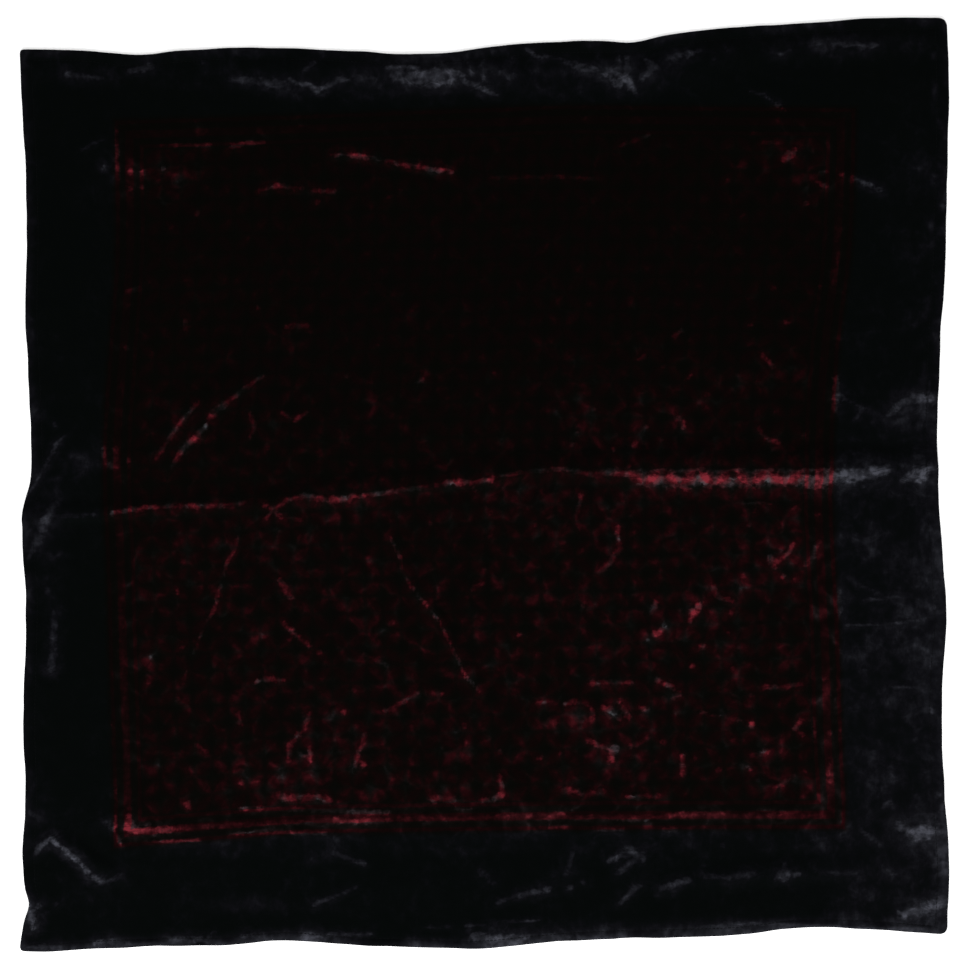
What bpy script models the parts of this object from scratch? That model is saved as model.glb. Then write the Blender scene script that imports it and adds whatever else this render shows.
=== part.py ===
"""A printed velvet foulard laid flat: one square of cloth and the narrow hems turned along its four sides.

Metres, +Z up out of the printed face, +Y towards the top side and +X to the right.
The middle of the laid cloth's box is on the Z axis, and the cloth rests on the plane Z = 0.
Tables are in millimetres from the middle of the laid cloth, one row for each point of a side or a fold.
"""

import bpy
import numpy as np

MM = 0.001

# Driving sizes, in millimetres
CUT_SIDE = 700.0
CLOTH_WALL = 1.4
SEAM_GAP = 0.3
HEM_WIDTH = {"top": 8.5, "right": 9.0, "bottom": 6.0, "left": 8.5}
CORNER_RADIUS = {"top_left": 3.5, "top_right": 7.0, "bottom_right": 6.5, "bottom_left": 4.0}

# Spacing of the grid lines of the panel and its hems, finer across the middle fold and at the corners
STEP_ACROSS = 15.0
STEP_UP = 12.0
MIDDLE_STEP_UP = 3.8
MIDDLE_BAND = (304.0, 384.0)
CORNER_STEPS = (0.0, 1.5, 3.5, 7.0)

# The four corners of the laid cloth: x, y
CORNERS = {
    "top_left": (-353.4, 331.0),
    "top_right": (352.1, 355.2),
    "bottom_right": (352.4, -342.4),
    "bottom_left": (-353.5, -354.7),
}

# The wavy sides between the corners. Top and bottom: x, y. Left and right: y, x.
TOP_SIDE = (
    (-304.2, 330.2),
    (-262.0, 326.6),
    (-240.4, 328.8),
    (-203.9, 331.4),
    (-149.2, 331.5),
    (-102.1, 329.7),
    (-58.0, 327.0),
    (-21.5, 329.1),
    (15.0, 333.8),
    (87.9, 337.0),
    (110.7, 336.3),
    (142.7, 341.9),
    (179.1, 346.5),
    (233.9, 350.1),
    (288.6, 354.1),
)
BOTTOM_SIDE = (
    (-331.6, -355.2),
    (-295.1, -352.9),
    (-240.4, -350.4),
    (-203.9, -350.3),
    (-149.2, -346.3),
    (-112.7, -349.1),
    (-58.0, -351.3),
    (-3.3, -352.6),
    (33.2, -349.3),
    (69.7, -346.3),
    (142.7, -343.9),
    (197.4, -341.8),
    (233.9, -337.2),
    (288.6, -337.6),
)
LEFT_SIDE = (
    (-331.5, -349.5),
    (-319.0, -346.2),
    (-306.5, -349.3),
    (-288.3, -350.5),
    (-233.5, -348.4),
    (-197.0, -349.8),
    (-87.6, -348.1),
    (-14.6, -349.3),
    (1.2, -345.2),
    (40.1, -344.6),
    (131.3, -348.4),
    (186.0, -347.5),
    (240.7, -348.7),
    (295.5, -351.5),
)
RIGHT_SIDE = (
    (-324.7, 352.4),
    (-306.5, 353.7),
    (-233.5, 349.9),
    (-178.8, 347.7),
    (-142.3, 348.6),
    (-102.8, 351.8),
    (-69.4, 349.5),
    (-14.6, 346.0),
    (21.8, 344.2),
    (58.3, 345.0),
    (113.1, 347.0),
    (167.8, 350.4),
    (222.5, 351.7),
    (286.3, 353.3),
)

# The largest folds, each a path of rows: x, y, height, reach in front (towards -Y), reach behind
FOLDS = {
    "middle": (
        (-370.0, -25.5, 3.0, 9.0, 14.0),
        (-344.5, -24.5, 3.0, 9.0, 14.0),
        (-288.3, -22.2, 2.2, 8.0, 14.0),
        (-184.9, -15.4, 2.6, 8.0, 16.0),
        (-104.3, -7.8, 3.2, 9.0, 20.0),
        (-15.4, 3.6, 3.2, 9.0, 22.0),
        (46.1, 10.5, 3.4, 11.0, 22.0),
        (118.3, 12.0, 5.6, 16.0, 26.0),
        (209.5, 11.2, 5.8, 16.0, 26.0),
        (267.3, 10.5, 5.8, 17.0, 24.0),
        (338.0, 13.5, 4.6, 15.0, 20.0),
        (370.0, 14.5, 4.2, 14.0, 20.0),
    ),
    "top_margin_left": (
        (-196.0, 309.0, 0.0, 14.0, 14.0),
        (-117.3, 316.0, 2.0, 16.0, 14.0),
        (-48.9, 315.0, 3.4, 20.0, 14.0),
        (11.9, 312.0, 2.8, 20.0, 14.0),
        (48.5, 298.5, 0.0, 14.0, 14.0),
    ),
    "top_margin_right": (
        (70.0, 322.0, 0.0, 14.0, 14.0),
        (121.0, 312.0, 3.0, 16.0, 14.0),
        (180.0, 325.0, 2.2, 14.0, 14.0),
        (255.0, 333.0, 2.6, 16.0, 14.0),
        (325.0, 335.0, 0.0, 14.0, 14.0),
    ),
    "upper_left": (
        (-250.0, 8.0, 0.0, 10.0, 16.0),
        (-212.3, 56.8, 2.4, 10.0, 16.0),
        (-160.5, 88.0, 0.0, 10.0, 16.0),
    ),
    "right_diagonal": (
        (262.0, -36.0, 0.0, 14.0, 18.0),
        (194.3, -80.0, 2.6, 14.0, 18.0),
        (122.0, -122.0, 0.0, 14.0, 18.0),
    ),
    "lower_middle": (
        (-76.0, -30.0, 0.0, 10.0, 10.0),
        (-39.7, -92.9, 2.2, 10.0, 10.0),
        (4.0, -170.0, 0.0, 10.0, 10.0),
    ),
    "lower_left_corner": (
        (-346.0, -279.0, 0.0, 10.0, 10.0),
        (-320.0, -271.5, 2.6, 10.0, 10.0),
        (-299.7, -285.0, 2.6, 10.0, 10.0),
        (-262.0, -306.0, 0.0, 10.0, 10.0),
    ),
    "bottom_margin": (
        (122.0, -307.0, 0.0, 12.0, 14.0),
        (200.0, -297.0, 2.2, 12.0, 14.0),
        (325.0, -289.0, 0.0, 12.0, 14.0),
    ),
}
FOLD_POINTS_PER_ROW = 6
RIM_POINTS = 1401

# Section of a turned hem, from the cloth's rim to the seam: share of the width, underside, top
HEM_SECTION = (
    (0.00, 0.8, 1.7),
    (0.14, 0.0, 2.5),
    (0.60, 0.0, 2.7),
    (0.86, 0.0, 2.2),
    (1.00, 0.0, 1.5),
)

# The solids of each hem, in order round the cloth: a side that bows in has two, which meet at its waist
HEM_STRETCHES = {
    "bottom": ("hem_bottom",),
    "right": ("hem_right_lower", "hem_right_upper"),
    "top": ("hem_top",),
    "left": ("hem_left_upper", "hem_left_lower"),
}


def smooth_between(rows, at):
    """Value at each place of a smooth curve through the rows (place, value).

    Between two neighbours it is a cubic, whose slope at a row is that of the rows on both sides.
    """
    place, value = np.array(rows).T
    slope = np.gradient(value, place)
    left = np.clip(np.searchsorted(place, at) - 1, 0, len(place) - 2)
    span = place[left + 1] - place[left]
    share = np.clip((at - place[left]) / span, 0.0, 1.0)
    rest = 1.0 - share
    from_left = (1 + 2 * share) * rest**2 * value[left] + share * rest**2 * span * slope[left]
    right = left + 1
    from_right = share**2 * (3 - 2 * share) * value[right] - share**2 * rest * span * slope[right]
    return from_left + from_right


def round_corners(across, up):
    """Cloth coordinates with each corner's square of side r pressed into a quarter disc of radius r."""
    half = CUT_SIDE / 2
    x, y = across - half, up - half
    radius = np.where(
        y > 0,
        np.where(x > 0, CORNER_RADIUS["top_right"], CORNER_RADIUS["top_left"]),
        np.where(x > 0, CORNER_RADIUS["bottom_right"], CORNER_RADIUS["bottom_left"]),
    )
    p = np.maximum((np.abs(x) - half + radius) / radius, 0.0)
    q = np.maximum((np.abs(y) - half + radius) / radius, 0.0)
    in_x = p * (1 - np.sqrt(1 - q**2 / 2)) * radius
    in_y = q * (1 - np.sqrt(1 - p**2 / 2)) * radius
    return across - np.sign(x) * in_x, up - np.sign(y) * in_y


def along_side(start, rows, end, share):
    """Points of a wavy side, at shares of the way between its corners.

    The first coordinate goes in even steps, and the second follows the smooth curve through the rows.
    """
    place = start[0] + share * (end[0] - start[0])
    return place, smooth_between((start, *rows, end), place)


def laid_place(across, up):
    """Where a point of the cut square lies: the surface stretched between its four wavy sides.

    It is the mean across plus the mean up, less the plain four-cornered surface, which both of them hold.
    """
    across, up = round_corners(across, up)
    a, b = across / CUT_SIDE, up / CUT_SIDE
    top_x, top_y = along_side(CORNERS["top_left"], TOP_SIDE, CORNERS["top_right"], a)
    bottom_x, bottom_y = along_side(CORNERS["bottom_left"], BOTTOM_SIDE, CORNERS["bottom_right"], a)
    left_y, left_x = along_side(CORNERS["bottom_left"][::-1], LEFT_SIDE, CORNERS["top_left"][::-1], b)
    right_y, right_x = along_side(CORNERS["bottom_right"][::-1], RIGHT_SIDE, CORNERS["top_right"][::-1], b)
    plain_x, plain_y = (
        (1 - a) * (1 - b) * CORNERS["bottom_left"][i] + a * (1 - b) * CORNERS["bottom_right"][i]
        + (1 - a) * b * CORNERS["top_left"][i] + a * b * CORNERS["top_right"][i]
        for i in (0, 1)
    )
    x = (1 - b) * bottom_x + b * top_x + (1 - a) * left_x + a * right_x - plain_x
    y = (1 - b) * bottom_y + b * top_y + (1 - a) * left_y + a * right_y - plain_y
    return x, y


def middle_of_box():
    """The middle of the laid cloth's box, from points along its whole rim."""
    rim = np.linspace(0.0, CUT_SIDE, RIM_POINTS)
    low, high = np.zeros(rim.shape), np.full(rim.shape, CUT_SIDE)
    x, y = laid_place(np.concatenate([rim, high, rim, low]), np.concatenate([low, rim, high, rim]))
    return (x.min() + x.max()) / 2, (y.min() + y.max()) / 2


def fold_lift(x, y, rows):
    """How far one fold lifts the cloth: height * (1 - (distance / reach)^2)^2.

    The distance is to the nearest point of its smooth path, along which the height and both reaches change.
    """
    rows = np.array(rows)
    step = np.hypot(*np.diff(rows[:, :2], axis=0).T)
    along = np.concatenate([[0.0], np.cumsum(step)])
    fine = np.linspace(0.0, along[-1], (len(rows) - 1) * FOLD_POINTS_PER_ROW + 1)
    path = np.array([smooth_between(np.column_stack([along, column]), fine) for column in rows.T]).T
    nearest = np.full(x.shape, np.inf)
    lift = np.zeros(x.shape)
    for start, end in zip(path[:-1], path[1:]):
        run = end[:2] - start[:2]
        share = np.clip(((x - start[0]) * run[0] + (y - start[1]) * run[1]) / (run @ run), 0.0, 1.0)
        off_x = x - start[0] - share * run[0]
        off_y = y - start[1] - share * run[1]
        height, front, behind = (start[i] + share * (end[i] - start[i]) for i in (2, 3, 4))
        distance = np.hypot(off_x, off_y)
        reach = np.where(off_y < 0, front, behind)
        bump = height * np.maximum(1 - (distance / reach) ** 2, 0.0) ** 2
        lift = np.where(distance < nearest, bump, lift)
        nearest = np.minimum(distance, nearest)
    return np.maximum(lift, 0.0)


def all_folds(x, y):
    """Lift of the cloth over the surface: the highest of its folds at each point."""
    return np.max([fold_lift(x, y, rows) for rows in FOLDS.values()], axis=0)


def closed_sheet(name, across, up, underside, top, material):
    """A wall over a grid of cloth coordinates, closed at its four edges, from underside to top."""
    x, y = laid_place(across, up)
    lift = all_folds(x, y)
    x, y = x - MIDDLE[0], y - MIDDLE[1]
    points = np.concatenate(
        [np.stack([x, y, lift + height], axis=-1).reshape(-1, 3) for height in (top, underside)]
    )
    above = np.arange(x.size).reshape(x.shape)
    below = above + x.size
    rim = np.concatenate([above[0, :-1], above[:-1, -1], above[-1, :0:-1], above[:0:-1, 0]])
    ahead = np.roll(rim, -1)
    quads = (
        np.stack([above[:-1, :-1], above[:-1, 1:], above[1:, 1:], above[1:, :-1]], axis=-1),
        np.stack([below[:-1, :-1], below[1:, :-1], below[1:, 1:], below[:-1, 1:]], axis=-1),
        np.stack([rim, rim + x.size, ahead + x.size, ahead], axis=-1),
    )
    faces = np.concatenate([quad.reshape(-1, 4) for quad in quads])
    # Both faces of the wall are split along the same diagonal, so that its thickness stays even.
    split = np.concatenate([faces[:, [0, 1, 2]], faces[:, [0, 2, 3]]])
    mesh = bpy.data.meshes.new(name)
    mesh.from_pydata((points * MM).tolist(), [], split.tolist())
    mesh.shade_smooth()
    mesh.materials.append(material)
    bpy.context.scene.collection.objects.link(bpy.data.objects.new(name, mesh))


def velvet(name, color, roughness):
    """A dark cloth that is dull from every side."""
    material = bpy.data.materials.new(name)
    material.use_nodes = True
    shader = material.node_tree.nodes["Principled BSDF"]
    shader.inputs["Base Color"].default_value = (*color, 1.0)
    shader.inputs["Roughness"].default_value = roughness
    shader.inputs["Metallic"].default_value = 0.0
    return material


def spaced(low, high, step):
    """Even places from low to high, no further apart than the step."""
    return np.linspace(low, high, int(np.ceil((high - low) / step)) + 1)


def grid_lines(low, high, step, fine_band=None):
    """Places of the grid lines between two seams: close at both ends, and closer in the fine band."""
    near, far = low + np.array(CORNER_STEPS), high - np.array(CORNER_STEPS)[::-1]
    if fine_band is None:
        middle = spaced(near[-1], far[0], step)
    else:
        middle = np.concatenate(
            [
                spaced(near[-1], fine_band[0], step)[:-1],
                spaced(*fine_band, MIDDLE_STEP_UP)[:-1],
                spaced(fine_band[1], far[0], step),
            ]
        )
    return np.concatenate([near[:-1], middle, far[1:]])


def make_panel(material):
    """The square of cloth inside the four seams, a wall that rests flat between its folds."""
    across, up = np.meshgrid(LINES_ACROSS, LINES_UP)
    underside, top = np.zeros(across.shape), np.full(across.shape, CLOTH_WALL)
    closed_sheet("velvet_square", across, up, underside, top, material)


def make_hem(side, before, after, lines, material):
    """One turned hem: its section carried along the side, mitred against the hems before and after it.

    At the seam its stations are the panel's own grid lines, and they spread evenly towards the rim.
    """
    share, underside, top = np.array(HEM_SECTION).T
    start = share[:, None] * HEM_WIDTH[before] + SEAM_GAP
    end = CUT_SIDE - share[:, None] * HEM_WIDTH[after] - SEAM_GAP
    station = (lines - lines[0]) / (lines[-1] - lines[0])
    whole = start + (end - start) * station[None, :]
    ends = np.linspace(0, len(lines) - 1, len(HEM_STRETCHES[side]) + 1).astype(int)
    for name, first, last in zip(HEM_STRETCHES[side], ends[:-1], ends[1:]):
        along = whole[:, first : last + 1].copy()
        along[:, 0] += SEAM_GAP / 2 if first > 0 else 0.0
        along[:, -1] -= SEAM_GAP / 2 if last < ends[-1] else 0.0
        depth = np.broadcast_to(share[:, None] * HEM_WIDTH[side], along.shape)
        grids = {
            "bottom": (along, depth),
            "right": (CUT_SIDE - depth, along),
            "top": (CUT_SIDE - along, CUT_SIDE - depth),
            "left": (depth, CUT_SIDE - along),
        }
        heights = [np.broadcast_to(height[:, None], along.shape) for height in (underside, top)]
        closed_sheet(name, *grids[side], *heights, material)


for old in list(bpy.data.objects):
    bpy.data.objects.remove(old, do_unlink=True)

MIDDLE = middle_of_box()
LINES_ACROSS = grid_lines(HEM_WIDTH["left"] + SEAM_GAP, CUT_SIDE - HEM_WIDTH["right"] - SEAM_GAP, STEP_ACROSS)
LINES_UP = grid_lines(
    HEM_WIDTH["bottom"] + SEAM_GAP, CUT_SIDE - HEM_WIDTH["top"] - SEAM_GAP, STEP_UP, MIDDLE_BAND
)

printed_velvet = velvet("printed_velvet", (0.012, 0.004, 0.005), 0.85)
plain_velvet = velvet("plain_velvet", (0.004, 0.0045, 0.005), 0.85)

make_panel(printed_velvet)
make_hem("bottom", "left", "right", LINES_ACROSS, plain_velvet)
make_hem("right", "bottom", "top", LINES_UP, plain_velvet)
make_hem("top", "right", "left", CUT_SIDE - LINES_ACROSS[::-1], plain_velvet)
make_hem("left", "top", "bottom", CUT_SIDE - LINES_UP[::-1], plain_velvet)
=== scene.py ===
# %% [markdown]
# # A printed velvet foulard, laid flat
#
# This lesson makes one square neck scarf of black velvet with a dark red print. It lies on a pale
# table and is seen from straight above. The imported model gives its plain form: a panel and four
# turned hems. Here each of them gets a fine surface: creases, a printed pile, a woven back and
# rows of stitches. Every length is in millimetres, from the middle of the cloth. Only those of the
# floor and the lamp are in metres, as Blender counts.

# %% The fixed frame
import math

import bpy
import numpy as np
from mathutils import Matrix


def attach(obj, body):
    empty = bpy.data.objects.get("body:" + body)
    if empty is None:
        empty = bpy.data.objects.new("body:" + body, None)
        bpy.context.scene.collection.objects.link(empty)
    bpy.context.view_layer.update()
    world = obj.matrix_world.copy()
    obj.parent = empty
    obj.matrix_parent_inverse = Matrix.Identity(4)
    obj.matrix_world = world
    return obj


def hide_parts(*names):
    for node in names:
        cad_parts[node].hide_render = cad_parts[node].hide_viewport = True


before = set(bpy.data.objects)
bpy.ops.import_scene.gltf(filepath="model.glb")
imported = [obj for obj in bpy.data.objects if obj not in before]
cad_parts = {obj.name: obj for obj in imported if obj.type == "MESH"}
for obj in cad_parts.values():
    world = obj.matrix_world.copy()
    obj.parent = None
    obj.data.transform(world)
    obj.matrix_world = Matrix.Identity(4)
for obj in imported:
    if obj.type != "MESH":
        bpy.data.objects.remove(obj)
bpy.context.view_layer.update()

MM = 0.001

# %% [markdown]
# ## The camera
#
# The picture looks straight down on the cloth. One of its pixels is 0.76 mm of cloth, so the
# height of the camera follows from its lens. A long lens is the natural choice: it shows the
# four sides of a flat thing with hardly any distortion.

# %% Camera straight above
PICTURE_PIXELS = (970, 971)
PIXEL = 0.76
LENS = 85.0
SENSOR = 36.0
VIEW_CENTRE = (0.4, -0.6)
PILE_HEIGHT = 1.5

camera_data = bpy.data.cameras.new("camera_above")
camera_data.lens = LENS
camera_data.sensor_width = SENSOR
camera = bpy.data.objects.new("camera_above", camera_data)
bpy.context.scene.collection.objects.link(camera)
camera_height = LENS / SENSOR * max(PICTURE_PIXELS) * PIXEL + PILE_HEIGHT
camera.location = (VIEW_CENTRE[0] * MM, VIEW_CENTRE[1] * MM, camera_height * MM)
bpy.context.scene.camera = camera
print("The camera hangs", round(camera_height), "mm above the cloth")

# %% [markdown]
# ## The table and the light
#
# Velvet hardly answers light from straight above, because its pile stands up and swallows it. It
# shows its folds in light that comes low over one side. So one large soft lamp stands low at the
# near side, and a pale sky fills the rest. The view transform is the plain one, which keeps deep
# blacks black and the pale table white.

# %% Floor, lamp and sky
FLOOR_SIDE = 9.0
FLOOR_DROP = 0.0003
FLOOR_ALBEDO = 0.96
FLOOR_ROUGHNESS = 0.9
LAMP_PLACE = (-0.25, -2.2, 1.5)
LAMP_SIZE = (2.2, 1.2)
LAMP_WATTS = 115.0
SKY_COLOUR = (1.0, 1.0, 1.0, 1.0)
SKY_STRENGTH = 1.08


def plain_surface(name, colour, roughness):
    """A material of one colour, for the floor and as the start of the others."""
    material = bpy.data.materials.new(name)
    material.use_nodes = True
    shader = material.node_tree.nodes["Principled BSDF"]
    shader.inputs["Base Color"].default_value = (*colour, 1.0)
    shader.inputs["Roughness"].default_value = roughness
    return material


half = FLOOR_SIDE / 2
floor_mesh = bpy.data.meshes.new("table_top")
corners = [(-half, -half, -FLOOR_DROP), (half, -half, -FLOOR_DROP)]
corners += [(half, half, -FLOOR_DROP), (-half, half, -FLOOR_DROP)]
floor_mesh.from_pydata(corners, [], [(0, 1, 2, 3)])
floor_mesh.materials.append(plain_surface("pale_table", (FLOOR_ALBEDO,) * 3, FLOOR_ROUGHNESS))
floor = bpy.data.objects.new("table_top", floor_mesh)
bpy.context.scene.collection.objects.link(floor)

lamp_data = bpy.data.lights.new("low_soft_lamp", "AREA")
lamp_data.shape = "RECTANGLE"
lamp_data.size, lamp_data.size_y = LAMP_SIZE
lamp_data.energy = LAMP_WATTS
lamp = bpy.data.objects.new("low_soft_lamp", lamp_data)
lamp.location = LAMP_PLACE
lamp.rotation_euler = (-lamp.location).to_track_quat("-Z", "Y").to_euler()
lamp.visible_camera = False
bpy.context.scene.collection.objects.link(lamp)

sky = bpy.data.worlds.new("pale_sky")
sky.use_nodes = True
sky.node_tree.nodes["Background"].inputs["Color"].default_value = SKY_COLOUR
sky.node_tree.nodes["Background"].inputs["Strength"].default_value = SKY_STRENGTH
bpy.context.scene.world = sky
bpy.context.scene.view_settings.view_transform = "Standard"
print("The lamp stands", round(lamp.location.length, 2), "m from the cloth")

# %% [markdown]
# ## The outline of the laid cloth
#
# The scarf is sewn square, 70 cm a side, but it doesn't lie square: each side waves in and out by
# a few millimetres, and the top side slants. The tables hold only the points where a side turns,
# and a smooth curve runs through them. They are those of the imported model, so the fine pieces
# stay in its place.

# %% Driving sizes and the four sides
FLAT_SIDE = 700.0
CLOTH_WALL = 1.4
HEM_WIDTH = {"top": 8.5, "right": 9.0, "bottom": 6.0, "left": 8.5}
CORNER_RADIUS = {"top_left": 3.5, "top_right": 7.0, "bottom_right": 6.5, "bottom_left": 4.0}

# The four corners of the laid cloth: x, y
CORNERS = {
    "top_left": (-353.4, 331.0),
    "top_right": (352.1, 355.2),
    "bottom_right": (352.4, -342.4),
    "bottom_left": (-353.5, -354.7),
}

# The wavy sides between the corners. Top and bottom: x, y. Left and right: y, x.
TOP_SIDE = (
    (-304.2, 330.2), (-262.0, 326.6), (-240.4, 328.8), (-203.9, 331.4), (-149.2, 331.5),
    (-102.1, 329.7), (-58.0, 327.0), (-21.5, 329.1), (15.0, 333.8), (87.9, 337.0),
    (110.7, 336.3), (142.7, 341.9), (179.1, 346.5), (233.9, 350.1), (288.6, 354.1),
)
BOTTOM_SIDE = (
    (-331.6, -355.2), (-295.1, -352.9), (-240.4, -350.4), (-203.9, -350.3), (-149.2, -346.3),
    (-112.7, -349.1), (-58.0, -351.3), (-3.3, -352.6), (33.2, -349.3), (69.7, -346.3),
    (142.7, -343.9), (197.4, -341.8), (233.9, -337.2), (288.6, -337.6),
)
LEFT_SIDE = (
    (-331.5, -349.5), (-319.0, -346.2), (-306.5, -349.3), (-288.3, -350.5), (-233.5, -348.4),
    (-197.0, -349.8), (-87.6, -348.1), (-14.6, -349.3), (1.2, -345.2), (40.1, -344.6),
    (131.3, -348.4), (186.0, -347.5), (240.7, -348.7), (295.5, -351.5),
)
RIGHT_SIDE = (
    (-324.7, 352.4), (-306.5, 353.7), (-233.5, 349.9), (-178.8, 347.7), (-142.3, 348.6),
    (-102.8, 351.8), (-69.4, 349.5), (-14.6, 346.0), (21.8, 344.2), (58.3, 345.0),
    (113.1, 347.0), (167.8, 350.4), (222.5, 351.7), (286.3, 353.3),
)

# %% From the flat square to where it lies
RIM_POINTS = 1401


def smooth_between(rows, at):
    """Value at each place of a smooth curve through the rows (place, value).

    Between two neighbours it is a cubic, whose slope at a row is that of the rows on both sides.
    """
    place, value = np.array(rows).T
    slope = np.gradient(value, place)
    left = np.clip(np.searchsorted(place, at) - 1, 0, len(place) - 2)
    span = place[left + 1] - place[left]
    share = np.clip((at - place[left]) / span, 0.0, 1.0)
    rest = 1.0 - share
    from_left = (1 + 2 * share) * rest**2 * value[left] + share * rest**2 * span * slope[left]
    into_right = share**2 * (3 - 2 * share) * value[left + 1] - share**2 * rest * span * slope[left + 1]
    return from_left + into_right


def round_corners(across, up):
    """Cloth coordinates with each corner's square pressed into a quarter disc of the same radius."""
    middle = FLAT_SIDE / 2
    x, y = across - middle, up - middle
    radius = np.where(
        y > 0,
        np.where(x > 0, CORNER_RADIUS["top_right"], CORNER_RADIUS["top_left"]),
        np.where(x > 0, CORNER_RADIUS["bottom_right"], CORNER_RADIUS["bottom_left"]),
    )
    p = np.maximum((np.abs(x) - middle + radius) / radius, 0.0)
    q = np.maximum((np.abs(y) - middle + radius) / radius, 0.0)
    in_x = p * (1 - np.sqrt(1 - q**2 / 2)) * radius
    in_y = q * (1 - np.sqrt(1 - p**2 / 2)) * radius
    return across - np.sign(x) * in_x, up - np.sign(y) * in_y


def along_side(start, rows, end, share):
    """Points of a wavy side, at shares of the way between its corners."""
    place = start[0] + share * (end[0] - start[0])
    return place, smooth_between((start, *rows, end), place)


def laid_place(across, up):
    """Where a point of the flat square lies: the surface stretched between its four wavy sides.

    It is the mean across plus the mean up, less the plain four-cornered surface, which both hold.
    """
    across, up = round_corners(across, up)
    a, b = across / FLAT_SIDE, up / FLAT_SIDE
    top_x, top_y = along_side(CORNERS["top_left"], TOP_SIDE, CORNERS["top_right"], a)
    bottom_x, bottom_y = along_side(CORNERS["bottom_left"], BOTTOM_SIDE, CORNERS["bottom_right"], a)
    left_y, left_x = along_side(CORNERS["bottom_left"][::-1], LEFT_SIDE, CORNERS["top_left"][::-1], b)
    right_y, right_x = along_side(
        CORNERS["bottom_right"][::-1], RIGHT_SIDE, CORNERS["top_right"][::-1], b
    )
    plain_x, plain_y = (
        (1 - a) * (1 - b) * CORNERS["bottom_left"][i] + a * (1 - b) * CORNERS["bottom_right"][i]
        + (1 - a) * b * CORNERS["top_left"][i] + a * b * CORNERS["top_right"][i]
        for i in (0, 1)
    )
    x = (1 - b) * bottom_x + b * top_x + (1 - a) * left_x + a * right_x - plain_x
    y = (1 - b) * bottom_y + b * top_y + (1 - a) * left_y + a * right_y - plain_y
    return x, y


rim = np.linspace(0.0, FLAT_SIDE, RIM_POINTS)
nothing, whole = np.zeros(RIM_POINTS), np.full(RIM_POINTS, FLAT_SIDE)
rim_across = np.concatenate([rim, whole, rim, nothing])
rim_up = np.concatenate([nothing, rim, whole, rim])
rim_x, rim_y = laid_place(rim_across, rim_up)
MIDDLE = ((rim_x.min() + rim_x.max()) / 2, (rim_y.min() + rim_y.max()) / 2)
print("The laid outline measures", np.round([np.ptp(rim_x), np.ptp(rim_y)], 1), "mm")

# %% [markdown]
# ## The large folds
#
# The scarf was kept folded in half, so one long ridge crosses it near the middle, higher at the
# right. Softer swells lie in the margins. Each fold is a path with a height and a reach on both
# sides. A tool like the sculpt brush would do, but a table can be read and changed, and every
# piece that crosses a fold then rises by the same amount.

# %% Fold paths
# Rows: x, y, height, reach in front (towards the near side), reach behind
FOLDS = {
    "middle": (
        (-370.0, -25.5, 3.0, 9.0, 14.0),
        (-344.5, -24.5, 3.0, 9.0, 14.0),
        (-288.3, -22.2, 2.2, 8.0, 14.0),
        (-184.9, -15.4, 2.6, 8.0, 16.0),
        (-104.3, -7.8, 3.2, 9.0, 20.0),
        (-15.4, 3.6, 3.2, 9.0, 22.0),
        (46.1, 10.5, 3.4, 11.0, 22.0),
        (118.3, 12.0, 5.6, 16.0, 26.0),
        (209.5, 11.2, 5.8, 16.0, 26.0),
        (267.3, 10.5, 5.8, 17.0, 24.0),
        (338.0, 13.5, 4.6, 15.0, 20.0),
        (370.0, 14.5, 4.2, 14.0, 20.0),
    ),
    "top_margin_left": (
        (-196.0, 309.0, 0.0, 14.0, 14.0),
        (-117.3, 316.0, 2.0, 16.0, 14.0),
        (-48.9, 315.0, 3.4, 20.0, 14.0),
        (11.9, 312.0, 2.8, 20.0, 14.0),
        (48.5, 298.5, 0.0, 14.0, 14.0),
    ),
    "top_margin_right": (
        (70.0, 322.0, 0.0, 14.0, 14.0),
        (121.0, 312.0, 3.0, 16.0, 14.0),
        (180.0, 325.0, 2.2, 14.0, 14.0),
        (255.0, 333.0, 2.6, 16.0, 14.0),
        (325.0, 335.0, 0.0, 14.0, 14.0),
    ),
    "upper_left": (
        (-250.0, 8.0, 0.0, 10.0, 16.0),
        (-212.3, 56.8, 2.4, 10.0, 16.0),
        (-160.5, 88.0, 0.0, 10.0, 16.0),
    ),
    "right_diagonal": (
        (262.0, -36.0, 0.0, 14.0, 18.0),
        (194.3, -80.0, 2.6, 14.0, 18.0),
        (122.0, -122.0, 0.0, 14.0, 18.0),
    ),
    "lower_middle": (
        (-76.0, -30.0, 0.0, 10.0, 10.0),
        (-39.7, -92.9, 2.2, 10.0, 10.0),
        (4.0, -170.0, 0.0, 10.0, 10.0),
    ),
    "lower_left_corner": (
        (-346.0, -279.0, 0.0, 10.0, 10.0),
        (-320.0, -271.5, 2.6, 10.0, 10.0),
        (-299.7, -285.0, 2.6, 10.0, 10.0),
        (-262.0, -306.0, 0.0, 10.0, 10.0),
    ),
    "bottom_margin": (
        (122.0, -307.0, 0.0, 12.0, 14.0),
        (200.0, -297.0, 2.2, 12.0, 14.0),
        (325.0, -289.0, 0.0, 12.0, 14.0),
    ),
}
print(len(FOLDS), "folds")

# %% Lift of one fold
FOLD_POINTS_PER_ROW = 6


def beside(x, y, start, end):
    """Nearest point on the straight run from start to end: its share of the run, and the way from it."""
    run = end[:2] - start[:2]
    share = np.clip(((x - start[0]) * run[0] + (y - start[1]) * run[1]) / (run @ run), 0.0, 1.0)
    return share, x - start[0] - share * run[0], y - start[1] - share * run[1]


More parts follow.
